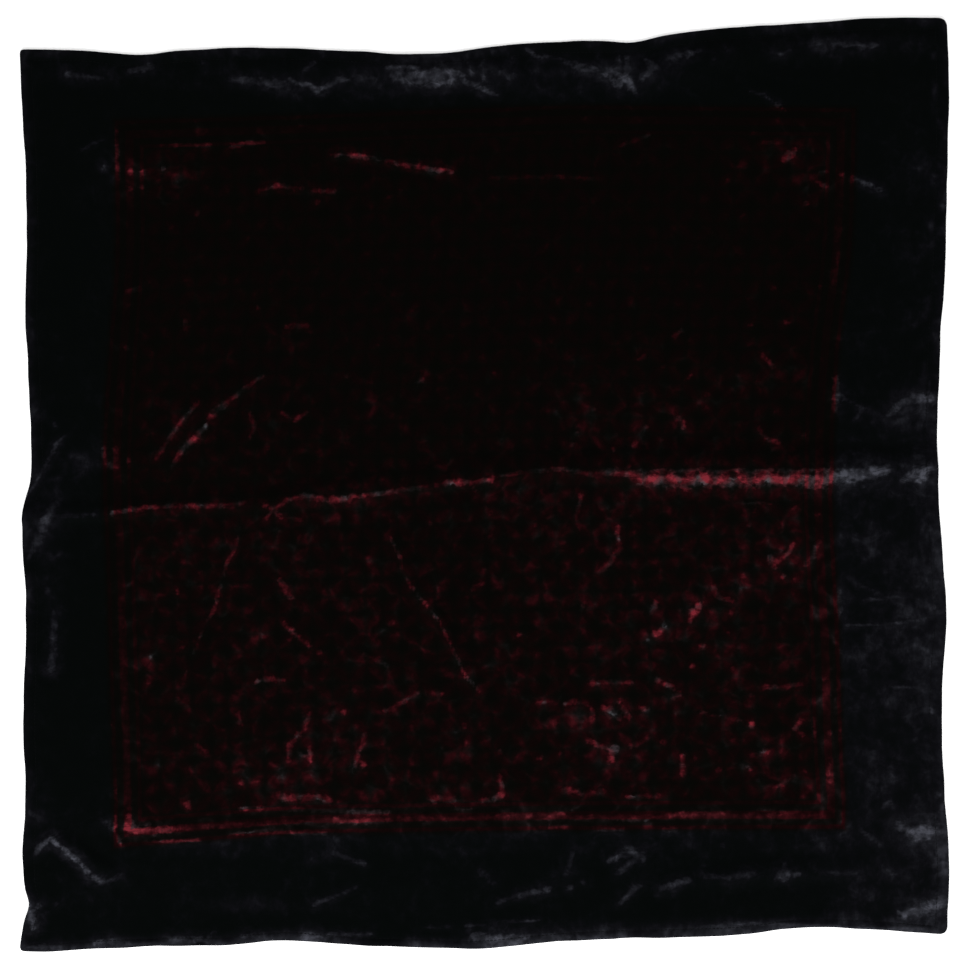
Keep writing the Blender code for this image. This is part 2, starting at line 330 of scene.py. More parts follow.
def fold_lift(x, y, rows):
    """How far one fold lifts the cloth: height * (1 - (distance / reach)^2)^2.

    The distance is to the nearest point of its smooth path, along which height and reach change.
    """
    rows = np.array(rows)
    step = np.hypot(*np.diff(rows[:, :2], axis=0).T)
    along = np.concatenate([[0.0], np.cumsum(step)])
    fine = np.linspace(0.0, along[-1], (len(rows) - 1) * FOLD_POINTS_PER_ROW + 1)
    path = np.array([smooth_between(np.column_stack([along, column]), fine) for column in rows.T]).T
    nearest = np.full(x.shape, np.inf)
    lift = np.zeros(x.shape)
    for start, end in zip(path[:-1], path[1:]):
        share, off_x, off_y = beside(x, y, start, end)
        height, front, behind = (start[i] + share * (end[i] - start[i]) for i in (2, 3, 4))
        distance = np.hypot(off_x, off_y)
        reach = np.where(off_y < 0, front, behind)
        bump = height * np.maximum(1 - (distance / reach) ** 2, 0.0) ** 2
        lift = np.where(distance < nearest, bump, lift)
        nearest = np.minimum(distance, nearest)
    return np.maximum(lift, 0.0)


# %% [markdown]
# ## Where the pile gleams: painted highlights
#
# Crushed velvet gleams where its pile is pressed over: along the near flank of every crease, which
# faces the lamp, and in small wisps. These gleams are painted highlights in the colour of the cloth.
# On the red print such a wisp glows red, and on black it turns grey. The tables below place the
# ones that show, region by region. A row is x, y, half width and light, which is 1 for a full gleam.
# Rows in one bracket join into a stroke, and one row alone is a spot.

# %% Gleams of the middle ridge
MIDDLE_GLEAMS = (
    ((-344, -24, 1.5, 0.20), (-323, -24, 1.5, 0.30), (-296, -23, 1.5, 0.35)),
    ((-283, -22, 2.0, 0.60), (-269, -19, 2.0, 0.55), (-250, -17, 2.0, 0.45), (-236, -16, 1.8, 0.40)),
    ((-234, -16, 2.0, 0.50), (-208, -16, 2.2, 0.50), (-191, -16, 2.0, 0.40), (-181, -13, 1.8, 0.35)),
    ((-168, -15, 1.6, 0.40), (-160, -19, 2.2, 0.70), (-154, -24, 2.0, 0.65)),
    ((-167, -27, 1.6, 0.35), (-160, -19, 2.0, 0.60), (-152, -14, 1.6, 0.40)),
    ((-148, -25, 1.4, 0.30), (-138, -27, 1.6, 0.45)),
    ((-150, -12, 2.2, 0.45), (-134, -9, 2.2, 0.55), (-116, -12, 2.6, 0.80), (-102, -11, 2.6, 0.85)),
    ((-100, -9, 2.0, 0.60), (-80, -7, 2.0, 0.55), (-60, -4, 1.8, 0.40), (-44, -2, 2.0, 0.50)),
    ((-36, 0, 2.0, 0.45), (-21, 2, 2.4, 0.75), (-8, 2, 1.8, 0.50), (6, 4, 2.4, 0.80)),
    ((-11, 1, 1.5, 0.40), (-7, -5, 1.5, 0.40)),
    ((13, 7, 1.8, 0.45), (34, 10, 1.6, 0.30), (61, 12, 1.8, 0.45), (85, 7, 2.2, 0.35)),
    ((86, 8, 2.4, 0.45), (98, 10, 2.6, 0.60), (109, 8, 3.0, 0.60), (119, 5, 4.5, 0.75)),
    ((119, 4, 5.0, 0.75), (136, 4, 5.0, 0.85), (151, 2, 5.0, 0.85), (170, 5, 5.2, 1.00)),
    ((170, 4, 5.0, 0.90), (186, 2, 5.0, 0.70), (209, 4, 5.0, 0.90), (231, 4, 4.6, 0.85)),
    ((231, 4, 4.6, 0.80), (252, 3, 5.4, 1.00), (266, 6, 5.0, 1.00)),
    ((118, 11, 1.2, 0.55), (160, 11, 1.2, 0.60), (230, 11, 1.2, 0.55), (262, 11, 1.6, 0.70)),
    ((268, 6, 5.2, 0.90), (284, 7, 5.2, 0.82), (297, 9, 4.6, 0.76), (305, 12, 3.2, 0.60)),
    ((318, 4, 2.8, 0.46), (331, 8, 6.0, 0.96), (339, 13, 3.4, 0.68)),
    ((196, -14, 1.2, 0.35), (218, -14, 1.2, 0.35)),
    ((287, -2, 1.8, 0.35),),
)

# %% Gleams of the upper half
UPPER_GLEAMS = (
    ((-249, 20, 1.8, 0.34), (-238, 36, 2.0, 0.46), (-230, 48, 2.2, 0.50), (-217, 62, 1.8, 0.38)),
    ((-237, 13, 1.8, 0.32), (-229, 27, 2.2, 0.48), (-220, 35, 2.6, 0.66), (-211, 45, 2.2, 0.52)),
    ((-208, 50, 2.2, 0.56), (-203, 56, 2.4, 0.66), (-192, 65, 1.8, 0.50), (-168, 83, 1.6, 0.45)),
    ((-289, 28, 1.8, 0.45), (-289, 17, 1.8, 0.50), (-280, 12, 2.0, 0.35)),
    ((-280, 27, 2.4, 0.40), (-279, 12, 2.4, 0.45)),
    ((-271, 18, 2.4, 0.45),),
    ((-178, 55, 1.8, 0.25), (-174, 45, 2.0, 0.32), (-178, 35, 1.8, 0.25)),
    ((-153, 55, 1.8, 0.28), (-144, 49, 2.0, 0.32), (-135, 55, 1.8, 0.28)),
    ((-48, 80, 2.4, 0.50),), ((-51, 76, 1.6, 0.30),), ((-81, 106, 2.0, 0.25),),
    ((-104, 83, 2.0, 0.28),), ((-2, 97, 2.0, 0.28),), ((7, 85, 2.0, 0.28),), ((-164, 28, 2.0, 0.28),),
    ((-307, 253, 1.5, 0.20), (-300, 258, 1.5, 0.30), (-289, 262, 1.4, 0.20)),
    ((-289, 242, 1.8, 0.72),), ((-269, 238, 2.4, 0.76),), ((-259, 237, 2.4, 0.68),),
    ((-244, 240, 2.0, 0.72),), ((-269, 224, 2.2, 0.58),), ((-260, 226, 2.0, 0.54),),
    ((-247, 231, 1.8, 0.25),),
    ((-278, 242, 1.8, 0.45), (-278, 232, 1.8, 0.40)),
    ((-280, 271, 1.6, 0.25), (-279, 255, 1.8, 0.40), (-279, 238, 1.8, 0.45)),
    ((-246, 257, 1.6, 0.38), (-228, 258, 1.6, 0.32), (-208, 258, 1.6, 0.36)),
    ((-192, 257, 2.2, 0.55), (-184, 259, 1.7, 0.42), (-167, 260, 1.6, 0.42)),
    ((-116, 250, 1.8, 0.50), (-105, 251, 1.9, 0.75), (-90, 249, 1.9, 0.75), (-78, 247, 1.8, 0.55)),
    ((-74, 246, 1.6, 0.55), (-63, 243, 1.9, 0.65), (-47, 241, 1.9, 0.75), (-34, 239, 2.1, 0.85)),
    ((-34, 239, 2.1, 0.80), (-25, 237, 1.8, 0.55)),
    ((4, 233, 1.6, 0.18), (32, 234, 1.8, 0.25), (62, 234, 1.6, 0.18), (89, 232, 1.6, 0.20)),
    ((-170, 223, 1.8, 0.35), (-157, 227, 2.2, 0.60), (-139, 225, 1.8, 0.38)),
    ((-130, 223, 1.9, 0.50), (-114, 223, 1.9, 0.45)),
    ((-127, 215, 2.0, 0.42),), ((-73, 219, 1.8, 0.30),), ((-63, 223, 1.8, 0.28),),
    ((103, 257, 1.5, 0.20), (126, 266, 1.5, 0.22)),
    ((-218, 206, 2.0, 0.28),), ((-238, 195, 2.0, 0.24),), ((-254, 154, 2.0, 0.26),),
    ((-262, 149, 2.2, 0.32), (-272, 147, 2.0, 0.26)),
    ((-227, 125, 2.0, 0.34), (-227, 118, 1.8, 0.26)),
    ((-172, 134, 2.0, 0.24),), ((-150, 120, 2.0, 0.24), (-135, 121, 2.0, 0.28)),
    ((-272, 104, 2.0, 0.28),), ((-253, 99, 2.0, 0.28),), ((-104, 186, 2.0, 0.14),),
    ((-37, 174, 2.0, 0.16),), ((48, 181, 2.0, 0.16),), ((16, 138, 2.0, 0.18),),
    ((80, 137, 2.0, 0.20),), ((111, 137, 2.0, 0.18),), ((81, 153, 2.0, 0.14),),
    ((202, 299, 1.2, 0.25), (214, 296, 1.2, 0.35), (222, 289, 1.7, 0.60), (229, 285, 1.2, 0.30)),
    ((235, 253, 3.2, 0.90), (228, 246, 2.4, 0.55)),
    ((206, 267, 1.6, 0.20),), ((211, 260, 1.6, 0.28), (227, 260, 1.6, 0.28)),
    ((196, 204, 2.0, 0.22),), ((185, 231, 2.0, 0.22),),
    ((260, 238, 2.0, 0.42), (249, 234, 1.6, 0.28), (260, 226, 2.4, 0.58)),
    ((245, 214, 2.0, 0.30),), ((272, 236, 2.2, 0.45),), ((279, 231, 1.8, 0.45),),
    ((280, 233, 1.8, 0.45), (292, 228, 1.8, 0.56), (302, 223, 1.8, 0.64)),
    ((342, 229, 1.2, 0.35),), ((271, 195, 2.0, 0.16), (268, 184, 2.0, 0.16)),
    ((269, 175, 2.0, 0.16), (266, 152, 2.0, 0.16)),
    ((220, 149, 2.0, 0.24),), ((255, 150, 2.0, 0.24),), ((162, 152, 2.0, 0.20),),
    ((229, 124, 2.2, 0.42),), ((202, 121, 2.0, 0.24),), ((150, 118, 2.0, 0.24), (145, 112, 2.0, 0.24)),
    ((118, 95, 1.6, 0.30), (122, 98, 1.6, 0.32), (126, 95, 1.6, 0.30)), ((137, 90, 2.0, 0.32),),
    ((156, 82, 2.0, 0.32),), ((212, 98, 2.0, 0.45), (219, 90, 2.0, 0.45)), ((218, 83, 2.0, 0.30),),
    ((121, 70, 2.2, 0.45),), ((170, 68, 2.0, 0.30),), ((169, 58, 2.0, 0.34),),
    ((147, 51, 2.0, 0.40), (152, 45, 2.6, 0.70)), ((114, 30, 2.4, 0.50),),
    ((115, 32, 2.0, 0.30), (123, 43, 2.2, 0.36)), ((134, 34, 2.0, 0.30),), ((222, 56, 2.0, 0.30),),
    ((209, 43, 1.8, 0.35), (214, 35, 2.0, 0.42), (225, 31, 1.8, 0.38)), ((243, 37, 2.2, 0.42),),
    ((267, 81, 2.4, 0.45), (268, 69, 2.8, 0.65), (266, 57, 2.4, 0.50)),
    ((84, 78, 2.0, 0.26),), ((83, 57, 2.0, 0.30),), ((54, 54, 2.0, 0.30),), ((70, 39, 2.0, 0.38),),
    ((67, 30, 2.4, 0.42),), ((98, 27, 2.0, 0.36),), ((109, 14, 2.2, 0.40),),
    ((270, 67, 1.4, 0.25), (289, 58, 1.4, 0.32), (280, 48, 1.4, 0.25)),
    ((308, 53, 2.0, 0.42), (316, 61, 2.8, 0.54), (327, 66, 3.6, 0.60), (338, 65, 4.0, 0.76)),
)

# %% Gleams of the margins
MARGIN_GLEAMS = (
    ((-348, -10, 1.4, 0.30), (-344, -4, 1.4, 0.40), (-336, 10, 1.3, 0.35), (-325, 30, 1.7, 0.55)),
    ((-325, 30, 1.7, 0.50), (-321, 35, 1.4, 0.40), (-316, 39, 1.2, 0.25)), ((-327, 46, 1.6, 0.30),),
    ((-323, -12, 2.6, 0.25), (-333, -27, 4.2, 0.60), (-339, -41, 3.0, 0.42), (-346, -55, 2.0, 0.30)),
    ((-332, -81, 2.6, 0.26),), ((-327, -97, 2.6, 0.32), (-327, -122, 2.8, 0.36), (-329, -139, 3.0, 0.60)),
    ((-345, -249, 2.4, 0.35), (-338, -254, 2.0, 0.28)),
    ((-317, 312, 2.6, 0.55), (-304, 310, 2.6, 0.38), (-291, 309, 2.2, 0.30)),
    ((-269, 315, 2.0, 0.35), (-260, 316, 2.4, 0.42), (-253, 318, 2.4, 0.52)),
    ((-214, 321, 2.0, 0.32),), ((-137, 314, 1.8, 0.28), (-129, 320, 2.2, 0.38)),
    ((-193, 308, 2.6, 0.34), (-170, 306, 3.2, 0.42), (-155, 303, 3.4, 0.56), (-148, 303, 2.6, 0.48)),
    ((-147, 308, 1.6, 0.36), (-141, 304, 2.0, 0.52), (-134, 304, 2.0, 0.52), (-126, 299, 2.1, 0.62)),
    ((-125, 300, 1.8, 0.54), (-116, 304, 2.0, 0.56), (-110, 308, 2.4, 0.62), (-105, 308, 1.8, 0.44)),
    ((-97, 308, 4.0, 0.32), (-88, 311, 4.0, 0.36)),
    ((-96, 306, 1.4, 0.46), (-90, 310, 1.4, 0.50), (-82, 307, 1.4, 0.44)),
    ((-74, 317, 1.6, 0.58), (-62, 317, 1.6, 0.66), (-49, 315, 1.8, 0.62)),
    ((-72, 309, 1.8, 0.52), (-56, 305, 2.2, 0.70), (-37, 303, 2.4, 0.76), (-22, 308, 2.2, 0.66)),
    ((-72, 314, 2.0, 0.46), (-60, 311, 4.0, 0.58), (-44, 310, 4.6, 0.72), (-34, 309, 4.6, 0.68)),
    ((-37, 315, 2.2, 0.66), (-22, 312, 2.8, 0.80), (-15, 307, 2.4, 0.66), (-11, 304, 2.0, 0.52)),
    ((-12, 319, 1.5, 0.46), (-9, 310, 1.7, 0.54)), ((-2, 317, 1.5, 0.48), (0, 308, 1.7, 0.54)),
    ((-7, 304, 2.0, 0.60), (2, 299, 2.1, 0.70), (10, 296, 1.6, 0.48)),
    ((12, 313, 2.6, 0.36), (21, 309, 2.8, 0.40)), ((21, 325, 1.8, 0.44),),
    ((32, 331, 1.5, 0.46), (38, 327, 1.9, 0.60), (44, 324, 1.5, 0.46)),
    ((46, 326, 1.2, 0.36), (65, 322, 1.4, 0.46), (84, 316, 1.5, 0.54)),
    ((84, 316, 1.5, 0.54), (95, 310, 1.9, 0.66), (103, 303, 2.2, 0.60)),
    ((61, 321, 1.3, 0.36), (73, 315, 1.5, 0.48), (92, 313, 1.3, 0.40)),
    ((93, 316, 2.0, 0.50), (100, 312, 2.0, 0.52), (108, 308, 4.2, 0.85), (115, 299, 2.2, 0.50)),
    ((102, 325, 1.8, 0.48), (102, 310, 2.0, 0.50)), ((109, 326, 2.0, 0.40), (108, 309, 2.6, 0.62)),
    ((99, 304, 2.0, 0.42),), ((119, 308, 2.6, 0.45), (130, 316, 2.8, 0.48), (123, 322, 2.4, 0.42)),
    ((140, 324, 2.4, 0.40), (150, 326, 2.8, 0.56), (163, 329, 2.2, 0.42)),
    ((174, 324, 2.0, 0.32),), ((185, 330, 2.0, 0.40),), ((225, 327, 2.0, 0.36), (232, 329, 1.8, 0.32)),
    ((254, 334, 2.0, 0.42),),
    ((262, 334, 1.6, 0.34), (280, 334, 2.4, 0.50), (288, 333, 2.8, 0.56), (300, 334, 1.6, 0.34)),
    ((320, 330, 2.0, 0.32),), ((331, 334, 2.0, 0.32),), ((324, 338, 1.6, 0.30),),
    ((-341, -281, 2.0, 0.40), (-336, -273, 2.2, 0.75), (-329, -269, 2.4, 0.90), (-320, -276, 2.3, 0.85)),
    ((-320, -276, 2.3, 0.80), (-307, -287, 2.4, 0.75), (-300, -296, 2.4, 0.75), (-291, -302, 2.4, 0.60)),
    ((-291, -302, 2.4, 0.55), (-284, -301, 2.0, 0.35), (-274, -297, 3.0, 0.34)),
    ((-291, -254, 2.0, 0.30), (-284, -260, 2.4, 0.42)),
    ((-114, -280, 1.8, 0.38), (-101, -285, 1.8, 0.34), (-91, -288, 2.0, 0.42)),
    ((-132, -284, 1.8, 0.26),), ((-129, -319, 2.0, 0.52), (-114, -313, 1.6, 0.36), (-97, -306, 1.6, 0.26)),
    ((-3, -293, 2.4, 0.30), (7, -303, 2.4, 0.30)),
    ((10, -317, 1.8, 0.36), (30, -311, 2.2, 0.46), (44, -309, 2.6, 0.56), (50, -306, 2.0, 0.40)),
    ((63, -295, 2.6, 0.42), (67, -280, 2.4, 0.36)), ((75, -301, 2.6, 0.36),), ((65, -306, 2.4, 0.34),),
    ((95, -285, 2.4, 0.38), (110, -278, 3.4, 0.54), (121, -284, 2.4, 0.38)),
    ((102, -295, 2.4, 0.38), (121, -280, 2.4, 0.38)), ((103, -318, 2.4, 0.38), (118, -304, 2.4, 0.36)),
    ((84, -269, 1.6, 0.26),), ((135, -307, 2.6, 0.56), (149, -302, 2.6, 0.58), (156, -300, 2.0, 0.42)),
    ((168, -297, 2.4, 0.38), (185, -298, 2.2, 0.34), (205, -295, 2.4, 0.40)),
    ((221, -300, 1.8, 0.42), (228, -295, 3.2, 0.62), (240, -296, 1.8, 0.40)),
    ((228, -288, 1.8, 0.42), (228, -300, 1.8, 0.42)), ((258, -295, 2.0, 0.24), (282, -295, 2.0, 0.24)),
    ((311, -297, 2.4, 0.45),), ((168, -288, 2.0, 0.24),), ((181, -274, 2.0, 0.26),),
    ((283, -39, 2.4, 0.26), (283, -50, 2.4, 0.26)),
    ((286, -76, 1.6, 0.34), (303, -84, 1.6, 0.36)), ((289, -88, 1.6, 0.34), (316, -85, 1.6, 0.34)),
    ((275, -107, 1.2, 0.38), (285, -107, 1.2, 0.42), (317, -105, 1.2, 0.44), (336, -102, 1.2, 0.40)),
    ((308, -154, 1.5, 0.34), (331, -154, 1.5, 0.40)), ((289, -142, 2.0, 0.30),),
    ((340, -172, 2.4, 0.52),), ((339, -138, 2.0, 0.36),), ((295, -203, 2.0, 0.30),),
    ((327, -194, 2.4, 0.32),), ((311, -221, 2.0, 0.30),), ((278, -170, 2.0, 0.30),),
    ((303, -246, 1.8, 0.32), (308, -241, 1.8, 0.50), (312, -247, 1.8, 0.34)),
    ((336, -218, 2.2, 0.36),), ((345, -236, 2.2, 0.46),),
    ((287, -263, 2.0, 0.34), (294, -268, 2.0, 0.34), (301, -274, 2.0, 0.32)),
    ((316, -260, 4.0, 0.56), (328, -266, 5.4, 0.80), (336, -263, 5.4, 0.94), (345, -264, 3.0, 0.70)),
    ((316, -327, 2.6, 0.60), (332, -324, 4.0, 0.86), (342, -320, 4.2, 0.92), (350, -316, 3.4, 0.84)),
)

# %% Gleams of the lower half of the print
LOWER_GLEAMS = (
    ((-187, -40, 1.4, 0.32), (-190, -51, 1.5, 0.48), (-195, -58, 1.5, 0.52), (-198, -69, 1.4, 0.36)),
    ((-200, -76, 1.4, 0.42), (-202, -83, 1.5, 0.55), (-205, -95, 1.5, 0.45), (-211, -104, 1.5, 0.48)),
    ((-214, -112, 1.3, 0.32), (-218, -122, 1.5, 0.46), (-221, -128, 1.3, 0.28)),
    ((-226, -142, 1.4, 0.32), (-229, -151, 1.4, 0.26)),
    ((-228, -58, 2.0, 0.30),), ((-233, -82, 2.2, 0.52),), ((-216, -67, 2.0, 0.28),),
    ((-189, -77, 2.0, 0.28), (-179, -77, 2.0, 0.26)),
    ((-155, -72, 1.9, 0.55), (-150, -82, 2.5, 0.90), (-146, -86, 2.0, 0.50)),
    ((-152, -105, 2.0, 0.55), (-143, -114, 2.0, 0.50), (-132, -123, 2.0, 0.50)),
    ((-148, -118, 2.0, 0.40),), ((-125, -127, 2.0, 0.45),), ((-70, -105, 2.0, 0.36),),
    ((-91, -129, 1.8, 0.34), (-73, -138, 1.8, 0.38)), ((-256, -150, 2.0, 0.44),),
    ((-173, -150, 2.0, 0.48), (-169, -148, 2.0, 0.48), (-151, -148, 2.0, 0.48)),
    ((-123, -148, 2.0, 0.32),), ((-99, -156, 2.0, 0.36),),
    ((-75, -172, 1.8, 0.42), (-68, -169, 2.2, 0.55), (-50, -158, 1.8, 0.36)),
    ((-187, -173, 2.0, 0.32), (-185, -183, 2.0, 0.36)), ((-107, -173, 2.2, 0.62),),
    ((-132, -173, 2.0, 0.42), (-137, -186, 2.2, 0.55), (-148, -198, 2.2, 0.55), (-148, -209, 2.0, 0.45)),
    ((-133, -200, 2.0, 0.52), (-132, -209, 2.4, 0.75)), ((-142, -202, 1.8, 0.45), (-136, -206, 1.8, 0.45)),
    ((-91, -189, 1.8, 0.42), (-92, -197, 2.0, 0.52), (-97, -209, 2.0, 0.52), (-100, -217, 2.4, 0.66)),
    ((-92, -214, 2.2, 0.60),), ((-78, -197, 2.0, 0.32),), ((-55, -184, 2.0, 0.34),),
    ((-218, -198, 2.0, 0.32), (-211, -203, 2.0, 0.32)), ((-189, -217, 2.2, 0.42),),
    ((-185, -226, 2.4, 0.64),), ((-173, -225, 2.0, 0.42),), ((-233, -163, 2.0, 0.30),),
    ((-229, -123, 2.0, 0.30),), ((-225, -243, 2.6, 0.62),),
    ((-160, -235, 2.6, 0.55), (-148, -238, 2.8, 0.75), (-132, -237, 2.8, 0.72), (-117, -240, 2.4, 0.60)),
    ((-72, -39, 1.3, 0.30), (-68, -47, 1.3, 0.38), (-63, -56, 1.5, 0.52), (-63, -63, 1.4, 0.42)),
    ((-60, -69, 1.3, 0.35), (-56, -76, 1.5, 0.55), (-47, -88, 1.5, 0.50), (-43, -92, 1.9, 0.90)),
    ((-40, -96, 1.4, 0.45), (-34, -104, 1.4, 0.50), (-25, -122, 1.4, 0.50), (-19, -135, 1.4, 0.50)),
    ((-19, -135, 1.4, 0.50), (-15, -145, 1.8, 0.75), (-9, -151, 1.4, 0.45), (-4, -157, 1.8, 0.70)),
    ((-41, -29, 2.0, 0.30),), ((5, -22, 2.0, 0.30),), ((39, -31, 2.0, 0.30),), ((-1, -65, 2.0, 0.36),),
    ((-1, -75, 2.0, 0.30), (-9, -79, 2.0, 0.28)), ((59, -44, 2.0, 0.30),), ((74, -50, 2.0, 0.32),),
    ((74, -8, 2.2, 0.55), (72, -17, 1.8, 0.30), (70, -25, 2.0, 0.35), (73, -34, 1.8, 0.30)),
    ((105, -13, 2.0, 0.34),),
    ((101, -34, 2.4, 0.70), (103, -48, 2.2, 0.52), (96, -59, 2.2, 0.52), (88, -66, 2.2, 0.48)),
    ((77, -89, 2.0, 0.38), (73, -97, 2.0, 0.32)), ((-1, -101, 2.0, 0.32),), ((26, -114, 2.2, 0.52),),
    ((-71, -106, 2.0, 0.30),), ((102, -104, 2.0, 0.38),), ((75, -112, 2.0, 0.32),),
    ((129, -95, 2.4, 0.55),), ((41, -129, 2.0, 0.34),), ((26, -145, 2.0, 0.34),),
    ((-38, -158, 2.0, 0.34), (-32, -159, 2.0, 0.30)),
    ((82, -151, 2.2, 0.64), (98, -150, 2.0, 0.46), (112, -151, 2.0, 0.46)),
    ((131, -148, 2.2, 0.62), (145, -155, 2.4, 0.70)), ((148, -159, 2.0, 0.52), (144, -162, 2.2, 0.60)),
    ((158, -138, 2.0, 0.34),), ((189, -140, 2.2, 0.52),), ((40, -166, 1.8, 0.40), (51, -164, 1.8, 0.42)),
    ((61, -167, 1.8, 0.42), (67, -164, 2.0, 0.48), (78, -166, 1.8, 0.42), (83, -172, 2.0, 0.48)),
    ((83, -172, 2.0, 0.45), (82, -180, 2.0, 0.36)),
    ((91, -170, 2.4, 0.60), (97, -173, 4.0, 0.90), (103, -177, 2.4, 0.55)),
    ((103, -164, 2.0, 0.62), (111, -178, 2.0, 0.55)), ((119, -169, 2.0, 0.42), (125, -172, 2.4, 0.55)),
    ((54, -180, 2.4, 0.58),),
    ((78, -194, 2.0, 0.52), (88, -199, 2.0, 0.50), (100, -201, 2.8, 0.85), (96, -209, 3.2, 0.95)),
    ((111, -199, 2.0, 0.50), (118, -196, 2.0, 0.46), (125, -192, 2.0, 0.50)),
    ((137, -197, 2.0, 0.34),), ((57, -205, 2.2, 0.42),), ((-14, -197, 2.0, 0.32),),
    ((-15, -183, 2.0, 0.32),), ((12, -203, 2.0, 0.34),), ((42, -208, 2.0, 0.34),),
    ((151, -206, 2.2, 0.58), (151, -220, 2.2, 0.55)), ((160, -208, 2.0, 0.42),),
    ((178, -217, 2.0, 0.42),), ((164, -173, 1.6, 0.36), (194, -179, 1.6, 0.38)),
    ((203, -182, 2.6, 0.75),), ((135, -195, 2.0, 0.42),),
    ((11, -221, 2.0, 0.48), (14, -232, 2.2, 0.58), (13, -236, 2.6, 0.85), (8, -239, 2.2, 0.62)),
    ((-3, -240, 2.0, 0.50), (4, -240, 2.0, 0.50)), ((-40, -239, 2.4, 0.62), (-21, -239, 2.4, 0.62)),
    ((60, -231, 2.2, 0.56), (73, -234, 2.2, 0.56), (80, -235, 2.0, 0.46), (91, -233, 2.0, 0.46)),
    ((109, -237, 2.2, 0.62), (121, -237, 2.0, 0.46), (133, -237, 2.0, 0.46)),
    ((254, -43, 2.2, 0.46), (248, -59, 2.0, 0.42)), ((244, -60, 2.0, 0.56),),
    ((217, -56, 3.0, 0.66), (221, -61, 2.8, 0.66)), ((227, -70, 2.2, 0.74),), ((238, -72, 2.4, 0.62),),
    ((222, -59, 2.0, 0.55), (231, -52, 1.8, 0.50), (235, -45, 1.8, 0.50)), ((197, -70, 2.2, 0.56),),
    ((174, -76, 2.2, 0.52), (176, -84, 2.2, 0.55), (188, -88, 2.0, 0.48)),
    ((163, -91, 2.6, 0.75), (159, -97, 3.2, 1.00), (157, -103, 2.4, 0.62)),
    ((131, -90, 2.6, 0.62), (127, -98, 1.8, 0.50)), ((137, -109, 2.4, 0.62), (130, -114, 2.6, 0.84)),
    ((165, -123, 2.6, 0.68),), ((187, -98, 2.0, 0.42),), ((186, -113, 2.0, 0.42),),
    ((141, -37, 2.0, 0.32),), ((114, -36, 2.0, 0.32),),
    ((235, -18, 2.0, 0.32),), ((254, -23, 2.0, 0.32),), ((205, -20, 2.0, 0.26),), ((201, -31, 2.0, 0.26),),
    ((253, -99, 2.0, 0.46),), ((270, -81, 2.0, 0.48), (270, -99, 2.0, 0.46)), ((271, -127, 2.0, 0.42),),
    ((250, -179, 1.8, 0.52), (251, -191, 1.8, 0.50)), ((270, -186, 2.0, 0.46),), ((259, -148, 2.2, 0.42),),
    ((262, -189, 2.2, 0.42),), ((263, -214, 2.8, 0.75), (263, -225, 2.8, 0.80)), ((256, -239, 2.2, 0.46),),
    ((213, -154, 2.0, 0.42), (228, -154, 2.0, 0.42), (241, -151, 1.8, 0.36)),
    ((224, -167, 2.0, 0.36),), ((203, -160, 2.0, 0.36),), ((241, -179, 2.4, 0.62), (236, -186, 2.0, 0.42)),
    ((242, -190, 2.0, 0.42),), ((225, -202, 2.0, 0.42),), ((203, -206, 2.0, 0.42), (216, -203, 2.0, 0.46)),
    ((189, -194, 2.0, 0.42),), ((195, -214, 2.0, 0.42), (203, -216, 2.0, 0.42)),
    ((208, -225, 2.4, 0.46),), ((244, -218, 2.0, 0.46),), ((231, -225, 2.0, 0.42), (221, -230, 2.0, 0.42)),
)

